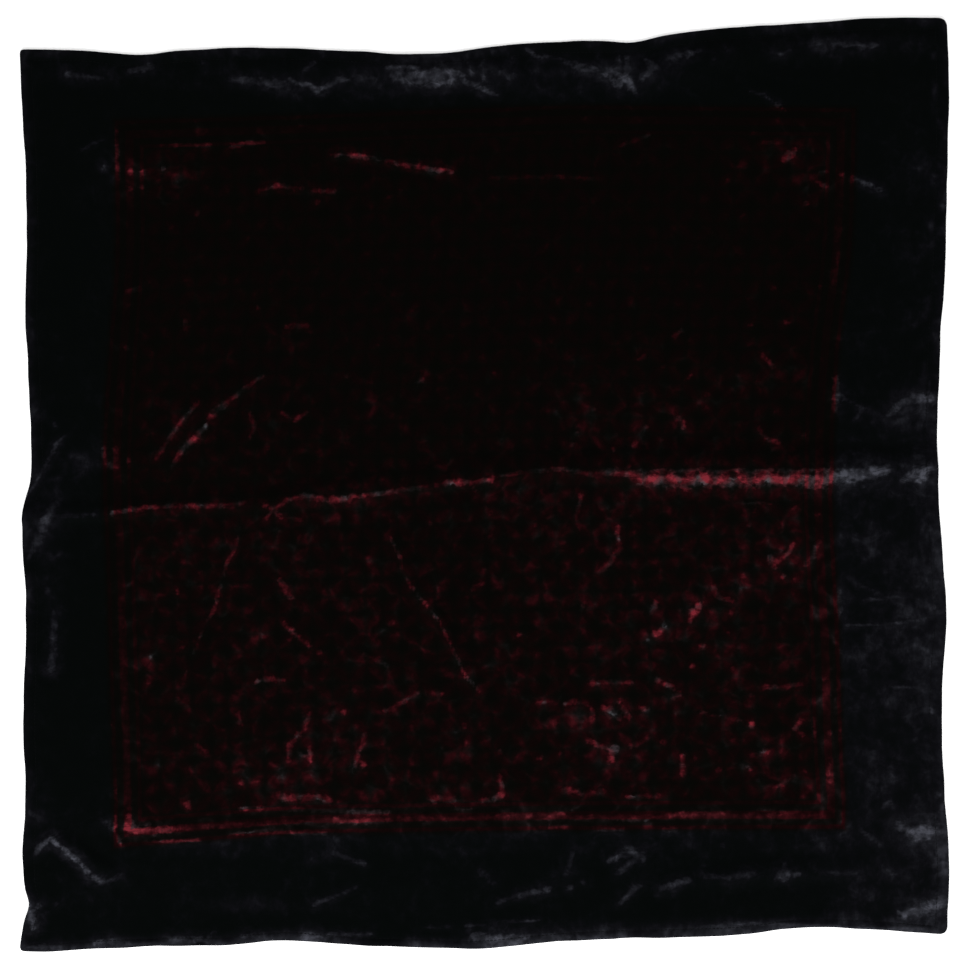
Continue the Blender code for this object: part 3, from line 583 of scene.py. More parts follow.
# %% Gleams of the frame's lower lines and of the rim
FRAME_GLEAMS = (
    ((-270, -253, 2.8, 1.00), (-270, -261, 3.2, 1.20), (-256, -263, 2.8, 1.12), (-236, -262, 2.4, 0.96)),
    ((-280, -252, 1.6, 0.55), (-280, -261, 1.8, 0.76), (-279, -266, 1.6, 0.62), (-276, -273, 1.6, 0.58)),
    ((-260, -257, 1.6, 0.36), (-254, -257, 1.6, 0.30)),
    ((-252, -271, 1.5, 0.58), (-232, -271, 1.5, 0.62), (-215, -270, 1.5, 0.52)),
    ((-193, -265, 1.6, 0.48), (-156, -264, 1.6, 0.52), (-120, -265, 1.6, 0.48)),
    ((-186, -246, 1.8, 0.60), (-167, -246, 1.8, 0.60)), ((-104, -249, 1.8, 0.66), (-72, -249, 1.8, 0.62)),
    ((-21, -246, 1.8, 0.58), (-10, -246, 1.8, 0.56)),
    ((-113, -255, 2.6, 0.65), (-100, -256, 2.8, 0.95), (-86, -255, 2.6, 0.72), (-72, -255, 2.4, 0.55)),
    ((13, -252, 2.6, 0.60), (35, -252, 2.6, 0.60)), ((50, -251, 2.4, 0.56), (60, -251, 2.4, 0.54)),
    ((106, -254, 2.6, 0.60), (123, -254, 2.6, 0.60)), ((142, -251, 2.4, 0.58), (185, -251, 2.4, 0.58)),
    ((225, -250, 2.4, 0.60), (238, -250, 2.4, 0.58)), ((50, -260, 1.6, 0.50), (63, -260, 1.6, 0.50)),
    ((83, -262, 1.6, 0.50), (106, -262, 1.6, 0.50)), ((137, -262, 1.8, 0.56), (146, -262, 1.8, 0.54)),
    ((-280, -233, 1.8, 0.56),), ((-283, -183, 1.6, 0.32),),
    ((-232, -261, 2.2, 0.36), (-180, -258, 2.2, 0.32), (-118, -256, 2.2, 0.34)),
    ((-66, -254, 2.2, 0.30), (100, -253, 2.2, 0.28), (258, -252, 2.2, 0.30)),
    ((-277, -88, 2.2, 0.14), (-273, -170, 2.2, 0.14), (-270, -246, 2.2, 0.18)),
    ((-168, -246, 1.6, 0.30), (-106, -248, 1.6, 0.34)),
    ((-349, -351, 1.6, 0.60), (-322, -351, 1.6, 0.55)), ((-295, -348, 2.2, 0.58), (-282, -347, 2.2, 0.52)),
    ((-272, -349, 1.8, 0.32), (-241, -349, 1.8, 0.30)), ((-237, -346, 2.8, 0.50), (-209, -346, 2.6, 0.46)),
    ((-184, -343, 2.0, 0.42), (-161, -343, 2.0, 0.38)), ((-138, -343, 2.4, 0.72), (-125, -343, 2.4, 0.66)),
    ((-118, -342, 1.8, 0.40), (-86, -341, 1.8, 0.42)), ((-45, -336, 1.2, 0.36), (-24, -336, 1.2, 0.32)),
    ((-15, -335, 1.2, 0.36), (2, -334, 1.2, 0.36)), ((11, -332, 1.2, 0.38), (42, -331, 1.2, 0.36)),
    ((60, -330, 1.4, 0.32),), ((-8, -344, 3.6, 0.62), (12, -346, 4.0, 0.80), (33, -344, 3.0, 0.55)),
    ((44, -342, 2.0, 0.48), (70, -344, 2.0, 0.42), (97, -345, 2.0, 0.46)),
    ((163, -336, 1.8, 0.46), (196, -335, 1.8, 0.46)),
    ((181, -333, 1.3, 0.48), (234, -334, 1.3, 0.50), (287, -337, 1.3, 0.46), (336, -337, 1.3, 0.42)),
    ((220, -337, 1.1, 0.34), (280, -339, 1.1, 0.34), (330, -341, 1.1, 0.34)),
    ((-348, -309, 1.4, 0.50), (-345, -320, 1.6, 0.66), (-349, -328, 1.5, 0.62), (-351, -336, 1.4, 0.55)),
    ((-345, -324, 2.6, 0.70), (-344, -330, 3.6, 0.86), (-343, -336, 3.0, 0.76)), ((-338, -320, 2.0, 0.45),),
    ((-326, -319, 2.0, 0.30),), ((-206, -340, 1.6, 0.26),),
    ((349, -283, 2.0, 0.50), (349, -289, 2.0, 0.50)), ((348, -243, 1.8, 0.52), (348, -253, 1.8, 0.46)),
    ((339, 79, 1.2, 0.30), (336, 58, 1.2, 0.36)), ((340, 37, 1.2, 0.30),), ((341, 20, 1.2, 0.30),),
    ((341, -33, 1.2, 0.34), (341, -46, 1.2, 0.34)), ((341, -69, 1.2, 0.32), (342, -96, 1.2, 0.34)),
    ((-344, 276, 1.4, 0.26),),
)
# Every painted highlight of the cloth, as strokes and spots
ALL_PAINTED_GLEAMS = (*MIDDLE_GLEAMS, *UPPER_GLEAMS, *MARGIN_GLEAMS, *LOWER_GLEAMS, *FRAME_GLEAMS)
print(len(ALL_PAINTED_GLEAMS), "strokes and spots of pressed pile")

# %% [markdown]
# ## Reading the gleams on any point of the cloth
#
# A bright thin line can't be stored as brightness at points 2.4 mm apart: it would turn into
# beads. A distance can, because it runs evenly from point to point. So each point keeps how far
# it is from the nearest gleam, counted in that gleam's half widths, and how bright that one is.
# The material turns the distance into a sharp or a soft edge of painted highlight, at any closeness.

# %% Distance to the nearest gleam
FAR_FROM_GLEAMS = 6.0
SPOT_LENGTH = 0.5


def nearest_gleam(x, y):
    """For each point: distance to the nearest gleam over its half width, and that gleam's light.

    Along a stroke both the half width and the light run straight from row to row. A spot is a
    stroke of the spot's length.
    """
    distance = np.full(x.shape, FAR_FROM_GLEAMS)
    light = np.zeros(x.shape)
    for stroke in ALL_PAINTED_GLEAMS:
        rows = np.array(stroke, float)
        if len(rows) == 1:
            rows = np.concatenate([rows, rows + (SPOT_LENGTH, 0.0, 0.0, 0.0)])
        for start, end in zip(rows[:-1], rows[1:]):
            share, off_x, off_y = beside(x, y, start, end)
            width, bright = (start[i] + share * (end[i] - start[i]) for i in (2, 3))
            counted = np.hypot(off_x, off_y) / width
            closer = counted < distance
            light = np.where(closer, bright, light)
            distance = np.where(closer, counted, distance)
    return distance, light


# %% [markdown]
# ## The lie of the pile, painted as light and shade
#
# Away from the creases the pile still leans one way or another over broad areas. Above the middle
# ridge it leans away from the lamp and looks almost black. Below it the pile leans towards the
# lamp, and so it does in cloudy patches of the margins. That broad lean is one soft number, the
# nap, from 0 for black to 1 for fully lit. It is painted into the colour: painted shade above the
# ridge, and painted light below it and in the clouds.

# %% Cloudy patches of painted light
# Rows: x, y, reach across, reach up, nap. Each patch is painted light, and a nap below 0 is painted shade.
PAINTED_LIGHT_CLOUDS = (
    (318.0, -170.0, 60.0, 190.0, 0.026),
    (352.0, -95.0, 24.0, 105.0, 0.068),
    (345.0, 190.0, 50.0, 160.0, 0.006),
    (354.0, -280.0, 10.0, 70.0, 0.120),
    (320.0, -60.0, 50.0, 70.0, 0.008),
    (300.0, -300.0, 90.0, 45.0, 0.008),
    (0.0, -312.0, 330.0, 28.0, 0.003),
    (-330.0, -170.0, 30.0, 160.0, 0.001),
    (-300.0, -300.0, 70.0, 50.0, 0.004),
    (-30.0, 309.0, 120.0, 16.0, 0.036),
    (110.0, 312.0, 60.0, 20.0, 0.026),
    (-290.0, 312.0, 80.0, 10.0, 0.011),
    (-150.0, 305.0, 60.0, 10.0, 0.009),
    (270.0, 335.0, 80.0, 12.0, 0.016),
    (-303.0, 18.0, 14.0, 9.0, 0.040),
    (-335.0, -30.0, 16.0, 40.0, 0.022),
    (326.0, 55.0, 26.0, 22.0, 0.030),
    (300.0, 225.0, 22.0, 12.0, 0.015),
    (334.0, 243.0, 12.0, 14.0, 0.020),
    (-257.0, 236.0, 36.0, 18.0, 0.020),
    (240.0, 246.0, 40.0, 26.0, 0.012),
    (270.0, -200.0, 40.0, 90.0, 0.008),
    (100.0, -180.0, 70.0, 50.0, 0.010),
    (220.0, -60.0, 50.0, 26.0, 0.006),
    (-120.0, -215.0, 60.0, 50.0, 0.008),
    (120.0, 45.0, 90.0, 40.0, 0.007),
    (75.0, 58.0, 14.0, 34.0, 0.014),
    (150.0, 66.0, 28.0, 24.0, 0.010),
    (215.0, 84.0, 24.0, 18.0, 0.008),
    (246.0, -48.0, 28.0, 17.0, 0.042),
    (204.0, -72.0, 28.0, 17.0, 0.034),
    (150.0, -98.0, 30.0, 17.0, 0.034),
    (-340.0, -252.0, 14.0, 14.0, 0.025),
    (-182.0, -319.0, 34.0, 7.0, 0.042),
    (332.0, -264.0, 24.0, 20.0, 0.040),
    (335.0, -322.0, 24.0, 12.0, 0.030),
    (210.0, -338.0, 150.0, 8.0, 0.070),
    (10.0, -254.0, 250.0, 12.0, 0.026),
    (-250.0, -236.0, 26.0, 18.0, -0.006),
    (260.0, -185.0, 9.0, 70.0, 0.024),
    (269.0, 150.0, 7.0, 130.0, 0.005),
    (-205.0, -272.0, 28.0, 9.0, 0.022),
    (-128.0, -283.0, 16.0, 8.0, 0.022),
    (-195.0, 268.0, 90.0, 6.0, 0.003),
)
print(len(PAINTED_LIGHT_CLOUDS), "cloudy patches")

# %% Broad nap, painted light and shade
# Levels of the painted nap: painted shade in the upper half, painted light below the ridge in the print,
# and in the margins
UPPER_PAINTED_NAP = 0.0012
MIDDLE_PAINTED_NAP = 0.0046
LOWER_PAINTED_NAP = 0.0108
MARGIN_PAINTED_NAP = 0.0016
PAINTED_NAP_RISE_FROM = 190.0
RIDGE_FLANK = (-1.0, 3.0)
PRINT_MIDDLE_UP = -2.0
PRINT_HALF = 272.0
PRINT_EDGE = 12.0
CLOUD_FALL = 1.5


def smooth_step(value, low, high):
    """0 below low, 1 above high, and the curve 3t^2 - 2t^3 between them."""
    share = np.clip((value - low) / (high - low), 0.0, 1.0)
    return share**2 * (3 - 2 * share)


def painted_nap_of(x, y):
    """Painted light and shade of the broad lean of the pile: it grows down the upper half, jumps at the
    ridge, and has clouds.

    A cloud adds nap * e^(-fall * away), where away is the squared distance over the reach.
    """
    ridge_rows = [(row[0], row[1]) for row in FOLDS["middle"]]
    ridge = smooth_between(ridge_rows, x)
    above = UPPER_PAINTED_NAP + (MIDDLE_PAINTED_NAP - UPPER_PAINTED_NAP) * smooth_step(-y, -PAINTED_NAP_RISE_FROM, -ridge.min())
    below = smooth_step(ridge - y, *RIDGE_FLANK)
    from_middle = np.maximum(np.abs(x), np.abs(y - PRINT_MIDDLE_UP))
    outside = smooth_step(from_middle, PRINT_HALF, PRINT_HALF + PRINT_EDGE)
    lower = LOWER_PAINTED_NAP + (MARGIN_PAINTED_NAP - LOWER_PAINTED_NAP) * outside
    painted_nap = above + (lower - above) * below
    for cloud_x, cloud_y, across, up, amount in PAINTED_LIGHT_CLOUDS:
        away = ((x - cloud_x) / across) ** 2 + ((y - cloud_y) / up) ** 2
        painted_nap = painted_nap + amount * np.exp(-CLOUD_FALL * away)
    return painted_nap


# %% [markdown]
# ## Small creases and rumples
#
# Under every gleam lies a small ridge in the cloth, so the same table lifts the surface too, by
# about a millimetre. Between them the cloth is rumpled by half a millimetre or so, most near the
# bottom. Real cloth has no repeat, so random heights at the corners of squares are smoothed into
# hills, with a fixed seed: the cloth is the same each time it is made.

# %% Soft noise
NOISE_CORNERS = 128
NOISE_TURN = math.radians(31.0)


def soft_noise(x, y, size, seed):
    """Smooth hills from -1 to 1: random heights at the corners of squares, eased in between."""
    heights = np.random.default_rng(seed).uniform(-1.0, 1.0, (NOISE_CORNERS, NOISE_CORNERS))
    turned_x = x * math.cos(NOISE_TURN * seed) - y * math.sin(NOISE_TURN * seed)
    turned_y = x * math.sin(NOISE_TURN * seed) + y * math.cos(NOISE_TURN * seed)
    column, across = np.divmod(turned_x / size, 1.0)
    row, up = np.divmod(turned_y / size, 1.0)
    left, low = column.astype(int) % NOISE_CORNERS, row.astype(int) % NOISE_CORNERS
    right, high = (left + 1) % NOISE_CORNERS, (low + 1) % NOISE_CORNERS
    across, up = smooth_step(across, 0.0, 1.0), smooth_step(up, 0.0, 1.0)
    below = heights[low, left] * (1 - across) + heights[low, right] * across
    above = heights[high, left] * (1 - across) + heights[high, right] * across
    return below * (1 - up) + above * up


# %% Lift of the cloth over the table
CREASE_HEIGHT = 1.5
CREASE_REACH = 2.6
RUMPLE_LEAST = 0.55
RUMPLE_GAIN = 0.45
RUMPLE_GAIN_DOWN = (-60.0, 240.0)
HILL_SOFTNESS = 0.04

# Rows: size of the hills, their height, seed, share of sharp creases among them
RUMPLES = (
    (46.0, 0.55, 11, 0.0),
    (23.0, 0.50, 12, 0.5),
    (11.5, 0.32, 13, 0.7),
    (6.5, 0.14, 14, 0.4),
)


def rumple(x, y):
    """Sum of the rows of hills, part of each folded over at zero, which turns hills into creases."""
    strength = RUMPLE_LEAST + RUMPLE_GAIN * smooth_step(-y, *RUMPLE_GAIN_DOWN)
    total = np.zeros(x.shape)
    for size, height, seed, sharp in RUMPLES:
        hills = soft_noise(x, y, size, seed)
        creased = 1 - 2 * np.abs(hills)
        total = total + height * ((1 - sharp) * hills + sharp * creased)
    return strength * total


def cloth_lift(x, y, distance, light):
    """Height of the underside: the highest fold, the small creases, and the rumples.

    The cloth can't sink into the table, so a rumple h counts as (h + sqrt(h^2 + softness)) / 2.
    """
    folds = np.max([fold_lift(x, y, rows) for rows in FOLDS.values()], axis=0)
    creases = CREASE_HEIGHT * light * np.maximum(1 - (distance / CREASE_REACH) ** 2, 0.0) ** 2
    hills = rumple(x, y)
    return folds + creases + (hills + np.sqrt(hills**2 + HILL_SOFTNESS)) / 2


# %% [markdown]
# ## The coordinates of the print
#
# The print was made on the flat cloth, before it was worn and laid out, so it bends with it. Two
# numbers say where a point is in the print, counted in repeats of the pattern from a corner of
# its frame. They are charted at nine heights on four lines, and run smoothly in between.

# %% Charted places of the print
# The four chart lines, from left to right: x
CHART_LINES = (-269.3, -140.1, 65.1, 232.3)
# Rows: y, then the repeats from the left at each chart line
REPEATS_ACROSS = (
    (-239.6, 3.61, 8.50, 16.14, 22.28),
    (-201.6, 3.65, 8.51, 16.20, 22.36),
    (-125.6, 3.75, 8.61, 16.23, 22.44),
    (-49.6, 3.83, 8.70, 16.36, 22.58),
    (-11.6, 3.90, 8.75, 16.40, 22.64),
    (34.0, 3.91, 8.78, 16.41, 22.61),
    (102.4, 3.74, 8.61, 16.24, 22.45),
    (178.4, 3.55, 8.37, 16.03, 22.14),
    (246.8, 3.57, 8.32, 15.86, 22.02),
)
# Rows: y, then the repeats from the top at each chart line
REPEATS_DOWN = (
    (-239.6, 21.98, 22.35, 22.46, 22.48),
    (-201.6, 20.61, 20.91, 21.04, 21.11),
    (-125.6, 17.82, 18.02, 18.17, 18.27),
    (-49.6, 14.94, 15.13, 15.31, 15.44),
    (-11.6, 13.41, 13.69, 13.89, 13.93),
    (34.0, 11.72, 11.96, 12.17, 12.11),
    (102.4, 9.18, 9.40, 9.64, 9.51),
    (178.4, 6.32, 6.51, 6.78, 6.69),
    (246.8, 3.82, 3.98, 4.25, 4.19),
)
print("The print is charted at", len(REPEATS_DOWN) * len(CHART_LINES), "places")


# %% Reading the chart
def charted(rows, x, y):
    """Repeats at each point: smooth up each chart line, and straight between and past the lines."""
    heights, *columns = np.array(rows).T
    inside = np.clip(y, heights[0], heights[-1])
    values = []
    for column in columns:
        slope = (column[-1] - column[0]) / (heights[-1] - heights[0])
        values.append(smooth_between(np.column_stack([heights, column]), inside) + slope * (y - inside))
    lines, values = np.array(CHART_LINES), np.array(values)
    cell = np.clip(np.searchsorted(lines, x) - 1, 0, len(lines) - 2)
    left = np.take_along_axis(values, cell[None], 0)[0]
    right = np.take_along_axis(values, cell[None] + 1, 0)[0]
    return left + (x - lines[cell]) / (lines[cell + 1] - lines[cell]) * (right - left)


# %% [markdown]
# ## From numbers to a mesh
#
# Every piece here is a set of points and quads worked out as whole arrays. One helper hands them
# to Blender, and another gives a mesh the numbers that its material reads: the place in the print,
# the nap, and the distance and light of the nearest gleam. They are stored on the points, so the
# finish follows the cloth wherever it goes.

# %% Mesh helpers
SHARP_ANGLE = 50.0


def made_mesh(name, points, faces, materials, face_material=None):
    """A new piece from points in millimetres and lists of faces, smooth but for its sharp edges."""
    mesh = bpy.data.meshes.new(name)
    mesh.from_pydata((points * MM).tolist(), [], [face for block in faces for face in block.tolist()])
    for material in materials:
        mesh.materials.append(material)
    if face_material is not None:
        mesh.polygons.foreach_set("material_index", face_material.astype(np.int32))
    mesh.shade_smooth()
    mesh.set_sharp_from_angle(angle=math.radians(SHARP_ANGLE))
    piece = bpy.data.objects.new(name, mesh)
    bpy.context.scene.collection.objects.link(piece)
    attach(piece, "root")
    print(name, "has", len(mesh.polygons), "faces")
    return piece


def keep_numbers(piece, numbers):
    """Stores arrays on the points of a piece, each under its own name."""
    for name, values in numbers.items():
        attribute = piece.data.attributes.new(name, "FLOAT", "POINT")
        attribute.data.foreach_set("value", values.ravel().astype(np.float32))


# %% [markdown]
# ## The painted shine of the edges
#
# At its rim the cloth rolls over, and the pile opens and shows its sides. So a soft band of painted
# light runs along each side, and it is strongest along the near one, which faces the lamp. Beside a
# seam the cloth puckers, and small patches of painted highlight shine there. Both are added to the
# painted nap.

# %% Painted shine of the edges, and all that the velvet needs to know
# Painted highlights: along each rim, and in patches beside each seam
RIM_SHINE = {"bottom": 0.44, "right": 0.060, "top": 0.065, "left": 0.075}
RIM_SHINE_REACH = 4.8
RIM_SHINE_SIZE = 24.0
RIM_SHINE_SEED = 41
SEAM_SHINE = {"bottom": 0.020, "right": 0.060, "top": 0.006, "left": 0.010}
SEAM_SHINE_REACH = 2.2
SEAM_SHINE_SIZE = 9.0
SEAM_SHINE_SEED = 43

# Each side reads its own row of the noise, so that no two sides match
FIRST_NOISE_ROW = 70.0
NOISE_ROW_STEP = 200.0


def painted_edge_shine(across, up):
    """Painted highlight of the rolled rims and the puckered seams: a bell across each, uneven along it."""
    to_side = {"bottom": up, "right": FLAT_SIDE - across, "top": FLAT_SIDE - up, "left": across}
    total = np.zeros(across.shape)
    for number, (side, depth) in enumerate(to_side.items()):
        along = across if side in ("bottom", "top") else up
        row = np.full(along.shape, FIRST_NOISE_ROW + NOISE_ROW_STEP * number)
        rim_patches = 0.5 + 0.5 * soft_noise(along, row, RIM_SHINE_SIZE, RIM_SHINE_SEED)
        puckers = np.maximum(soft_noise(along, row, SEAM_SHINE_SIZE, SEAM_SHINE_SEED), 0.0)
        off_seam = (depth - HEM_WIDTH[side] - SEAM_SHINE_REACH) / SEAM_SHINE_REACH
        total = total + RIM_SHINE[side] * rim_patches * np.exp(-((depth / RIM_SHINE_REACH) ** 2))
        total = total + SEAM_SHINE[side] * puckers**2 * np.exp(-(off_seam**2))
    return total


def cloth_numbers(across, up):
    """What the velvet needs to know at each point of the flat square."""
    x, y = laid_place(across, up)
    distance, light = nearest_gleam(x, y)
    return {
        "print_across": charted(REPEATS_ACROSS, x, y),
        "print_down": charted(REPEATS_DOWN, x, y),
        "painted_nap": painted_nap_of(x, y) + painted_edge_shine(across, up),
        "gleam_distance": distance,
        "gleam_light": light,
    }


# %% [markdown]
# ## Small tools for the materials
#
# A velvet finish is a chain of small sums, so helpers write them: sums and soft steps, clouds of
# noise of a given size, the numbers kept on the points, and mixes of colours. Each of these
# returns a socket, which the next one takes. This reads better than a long list of nodes and
# links. The last two start a material and give it relief.


# %% Sums and soft steps
def calc(tree, operation, *values, clamp=False):
    """One Math node. Each value is a number or another node's output."""
    node = tree.nodes.new("ShaderNodeMath")
    node.operation = operation
    node.use_clamp = clamp
    for socket, value in zip(node.inputs, values):
        if isinstance(value, (int, float)):
            socket.default_value = value
        else:
            tree.links.new(value, socket)
    return node.outputs[0]


def weighted(tree, values, weights):
    """Sum of the values that the weights name, each times its weight."""
    *names, last = weights
    total = calc(tree, "MULTIPLY", values[last], weights[last])
    for name in reversed(names):
        total = calc(tree, "MULTIPLY_ADD", values[name], weights[name], total)
    return total


def soft_edge(tree, value, low, high, to_low=0.0, to_high=1.0):
    """A smooth step of the value, from to_low at low to to_high at high."""
    node = tree.nodes.new("ShaderNodeMapRange")
    node.interpolation_type = "SMOOTHSTEP"
    tree.links.new(value, node.inputs["Value"])
    node.inputs["From Min"].default_value = low
    node.inputs["From Max"].default_value = high
    node.inputs["To Min"].default_value = to_low
    node.inputs["To Max"].default_value = to_high
    return node.outputs["Result"]


# %% Noise, and numbers kept on the points
def cloud(tree, place, size, detail=2.0, roughness=0.5, distortion=0.0):
    """Noise from 0 to 1, mostly near a half, with features of about this size in millimetres."""
    node = tree.nodes.new("ShaderNodeTexNoise")
    tree.links.new(place, node.inputs["Vector"])
    node.inputs["Scale"].default_value = 1.0 / (size * MM)
    node.inputs["Detail"].default_value = detail
    node.inputs["Roughness"].default_value = roughness
    node.inputs["Distortion"].default_value = distortion
    return node.outputs["Fac"]


def centred(tree, place, *form):
    """A cloud of noise round zero."""
    return calc(tree, "SUBTRACT", cloud(tree, place, *form), 0.5)


def stretched(tree, place, scales):
    """The place, scaled along each axis: a scale under 1 draws a pattern out along that axis."""
    node = tree.nodes.new("ShaderNodeVectorMath")
    node.operation = "MULTIPLY"
    tree.links.new(place, node.inputs[0])
    node.inputs[1].default_value = scales
    return node.outputs["Vector"]


def kept_number(tree, name):
    """The number that the piece keeps on its points under this name."""
    node = tree.nodes.new("ShaderNodeAttribute")
    node.attribute_name = name
    return node.outputs["Fac"]


# %% Mixes of colours
# A Mix node has sockets for every kind of value: these are its two colours, and what it makes
MIX_COLOURS = (6, 7)
MIX_RESULT = 2


def mixed(tree, share, low, high):
    """A colour between two others. Each is a colour or another node's output."""
    node = tree.nodes.new("ShaderNodeMix")
    node.data_type = "RGBA"
    tree.links.new(share, node.inputs["Factor"])
    for socket, colour in zip(MIX_COLOURS, (low, high)):
        if isinstance(colour, tuple):
            node.inputs[socket].default_value = (*colour, 1.0)
        else:
            tree.links.new(colour, node.inputs[socket])
    return node.outputs[MIX_RESULT]


def shades(tree, share, rows):
    """The colour at this share of a row of colours (share, colour), even in between."""
    node = tree.nodes.new("ShaderNodeValToRGB")
    ramp = node.color_ramp
    for row, (place, colour) in enumerate(rows):
        stop = ramp.elements[row] if row < 2 else ramp.elements.new(place)
        stop.position = place
        stop.color = (*colour, 1.0)
    tree.links.new(share, node.inputs["Fac"])
    return node.outputs["Color"]


# %% Start and relief of a material
def started(name, colour, roughness):
    """A new material, its nodes, its shader, and the socket that gives each point's place."""
    material = plain_surface(name, colour, roughness)
    tree = material.node_tree
    place = tree.nodes.new("ShaderNodeTexCoord").outputs["Object"]
    return material, tree, tree.nodes["Principled BSDF"], place


def raise_relief(tree, shader, height, strength, depth):
    """Gives the shader a relief of this depth in millimetres."""
    bump = tree.nodes.new("ShaderNodeBump")
    bump.inputs["Strength"].default_value = strength
    bump.inputs["Distance"].default_value = depth * MM
    tree.links.new(height, bump.inputs["Height"])
    tree.links.new(bump.outputs["Normal"], shader.inputs["Normal"])


# %% [markdown]
# ## The print
#
# The pattern is an old one: circles that overlap by a quarter, so that each pair shares a lens
# shaped petal, and four petals leave a dark four-pointed star. In a grid turned by 45 degrees the
# petals lie along the grid's lines, and their tips meet where the lines cross. A petal is where
# two discs overlap: a point is in it if the far centre of each disc is nearer than the disc's
# radius. The dye has bled a little into the pile round it.

# %% Petals
# Sizes in repeats of the pattern
PETAL_HALF_LENGTH = 0.42
PETAL_HALF_WIDTH = 0.18
PETAL_SOFTNESS = 0.06
BLEED = 0.22
BLEED_SHARE = 0.50


def petals(tree, first, second):
    """1 on the petals that lie along the first coordinate, less on the bled dye round them.

    With R the radius of the discs and w the half width, a point is in a petal where
    (|across| + R - w)^2 + along^2 < R^2, measured from the petal's own centre.
    """
    radius = (PETAL_HALF_LENGTH**2 + PETAL_HALF_WIDTH**2) / (2 * PETAL_HALF_WIDTH)
    along = calc(tree, "SUBTRACT", calc(tree, "FRACT", first), 0.5)
    shifted = calc(tree, "FRACT", calc(tree, "ADD", second, 0.5))
    across = calc(tree, "ABSOLUTE", calc(tree, "SUBTRACT", shifted, 0.5))
    from_disc = calc(tree, "ADD", across, radius - PETAL_HALF_WIDTH)
    squares = calc(tree, "MULTIPLY_ADD", from_disc, from_disc, calc(tree, "MULTIPLY", along, along))
    inside = calc(tree, "SUBTRACT", radius, calc(tree, "SQRT", squares))
    dyed = soft_edge(tree, inside, -PETAL_SOFTNESS, PETAL_SOFTNESS)
    bled = soft_edge(tree, inside, -BLEED, 0.0, 0.0, BLEED_SHARE)
    return calc(tree, "MAXIMUM", dyed, bled)


# %% [markdown]
# ## The frame of the print
#
# Three lines, thin, thick and thin, run round the trellis as a square. Only one number is needed
# for all of them: how far a point is from the thick line, counted outwards. It is the larger of
# the distances across and up, so the corners come out sharp. The dye of the lines is worn in
# patches, and the whole print sways a little, because a pile never lies quite straight.

# %% Frame lines
# Sizes in repeats of the pattern
THIN_OFFSET = 0.35
THICK_HALF_WIDTH = 0.112
THIN_HALF_WIDTH = 0.056
PRINT_SOFTNESS = 0.02
LINE_BLEED = 0.11
LINE_BLEED_SHARE = 0.2

# The three lines. Rows: distance from the thick one, half width
FRAME_LINES = (
    (-THIN_OFFSET, THIN_HALF_WIDTH),
    (0.0, THICK_HALF_WIDTH),
    (THIN_OFFSET, THIN_HALF_WIDTH),
)


def line_band(tree, distance, centre, half_width):
    """1 on a frame line round this distance from the thick line, with a soft edge."""
    off = calc(tree, "ABSOLUTE", calc(tree, "SUBTRACT", distance, centre))
    dyed = soft_edge(tree, off, half_width - PRINT_SOFTNESS, half_width + PRINT_SOFTNESS, 1.0, 0.0)
    bled = soft_edge(tree, off, half_width, half_width + LINE_BLEED, LINE_BLEED_SHARE, 0.0)
    return calc(tree, "MAXIMUM", dyed, bled)


# %% The whole print
PRINT_CENTRE = (13.5, 13.0)
FRAME_HALF = (9.94, 9.90)

# Noise that sways the print and wears its lines: sizes in millimetres, the sway in repeats
SWAY_SIZE = 6.0
SWAY = 0.08
WEAR_NOISE = (38.0, 3.0)
WEAR_EDGE = (0.38, 0.62)
LINE_WORN_TO = 0.8


def print_masks(tree, place):
    """Two numbers: 1 inside the outer frame line, and 1 where the cloth is printed red."""
    sway = calc(tree, "MULTIPLY", centred(tree, place, SWAY_SIZE), SWAY)
    u = calc(tree, "ADD", kept_number(tree, "print_across"), sway)
    v = calc(tree, "SUBTRACT", kept_number(tree, "print_down"), sway)
    turned = calc(tree, "ADD", u, v), calc(tree, "SUBTRACT", u, v)
    trellis = calc(tree, "MAXIMUM", petals(tree, *turned), petals(tree, *turned[::-1]))
    off_centre = [
        calc(tree, "SUBTRACT", calc(tree, "ABSOLUTE", calc(tree, "SUBTRACT", value, centre)), half)
        for value, centre, half in zip((u, v), PRINT_CENTRE, FRAME_HALF)
    ]
    distance = calc(tree, "MAXIMUM", *off_centre)
    inner_end = -THIN_OFFSET - THIN_HALF_WIDTH
    within = soft_edge(tree, distance, inner_end - 2 * PRINT_SOFTNESS, inner_end, 1.0, 0.0)
    inner, thick, outer = (line_band(tree, distance, *row) for row in FRAME_LINES)
    lines = calc(tree, "MAXIMUM", calc(tree, "MAXIMUM", inner, thick), outer)
    worn = soft_edge(tree, cloud(tree, place, *WEAR_NOISE), *WEAR_EDGE, LINE_WORN_TO, 1.0)
    worn_lines = calc(tree, "MULTIPLY", lines, worn)
    red = calc(tree, "MAXIMUM", calc(tree, "MULTIPLY", trellis, within), worn_lines)
    return soft_edge(tree, distance, THIN_OFFSET, THIN_OFFSET + BLEED, 1.0, 0.0), red


# %% [markdown]
# ## The velvet
#
# Pile velvet is thousands of upright hairs. Seen end on they swallow the light, and the cloth is
# nearly black whatever its dye. Where they are pressed flat their sides show, ten to twenty times
# brighter, and the dye with them. That brightness is painted into the colour: each dye is a row of
# shades from its own dark colour to a painted highlight, and one number chooses among them: how
# far the pile is pressed over, which is painted light.

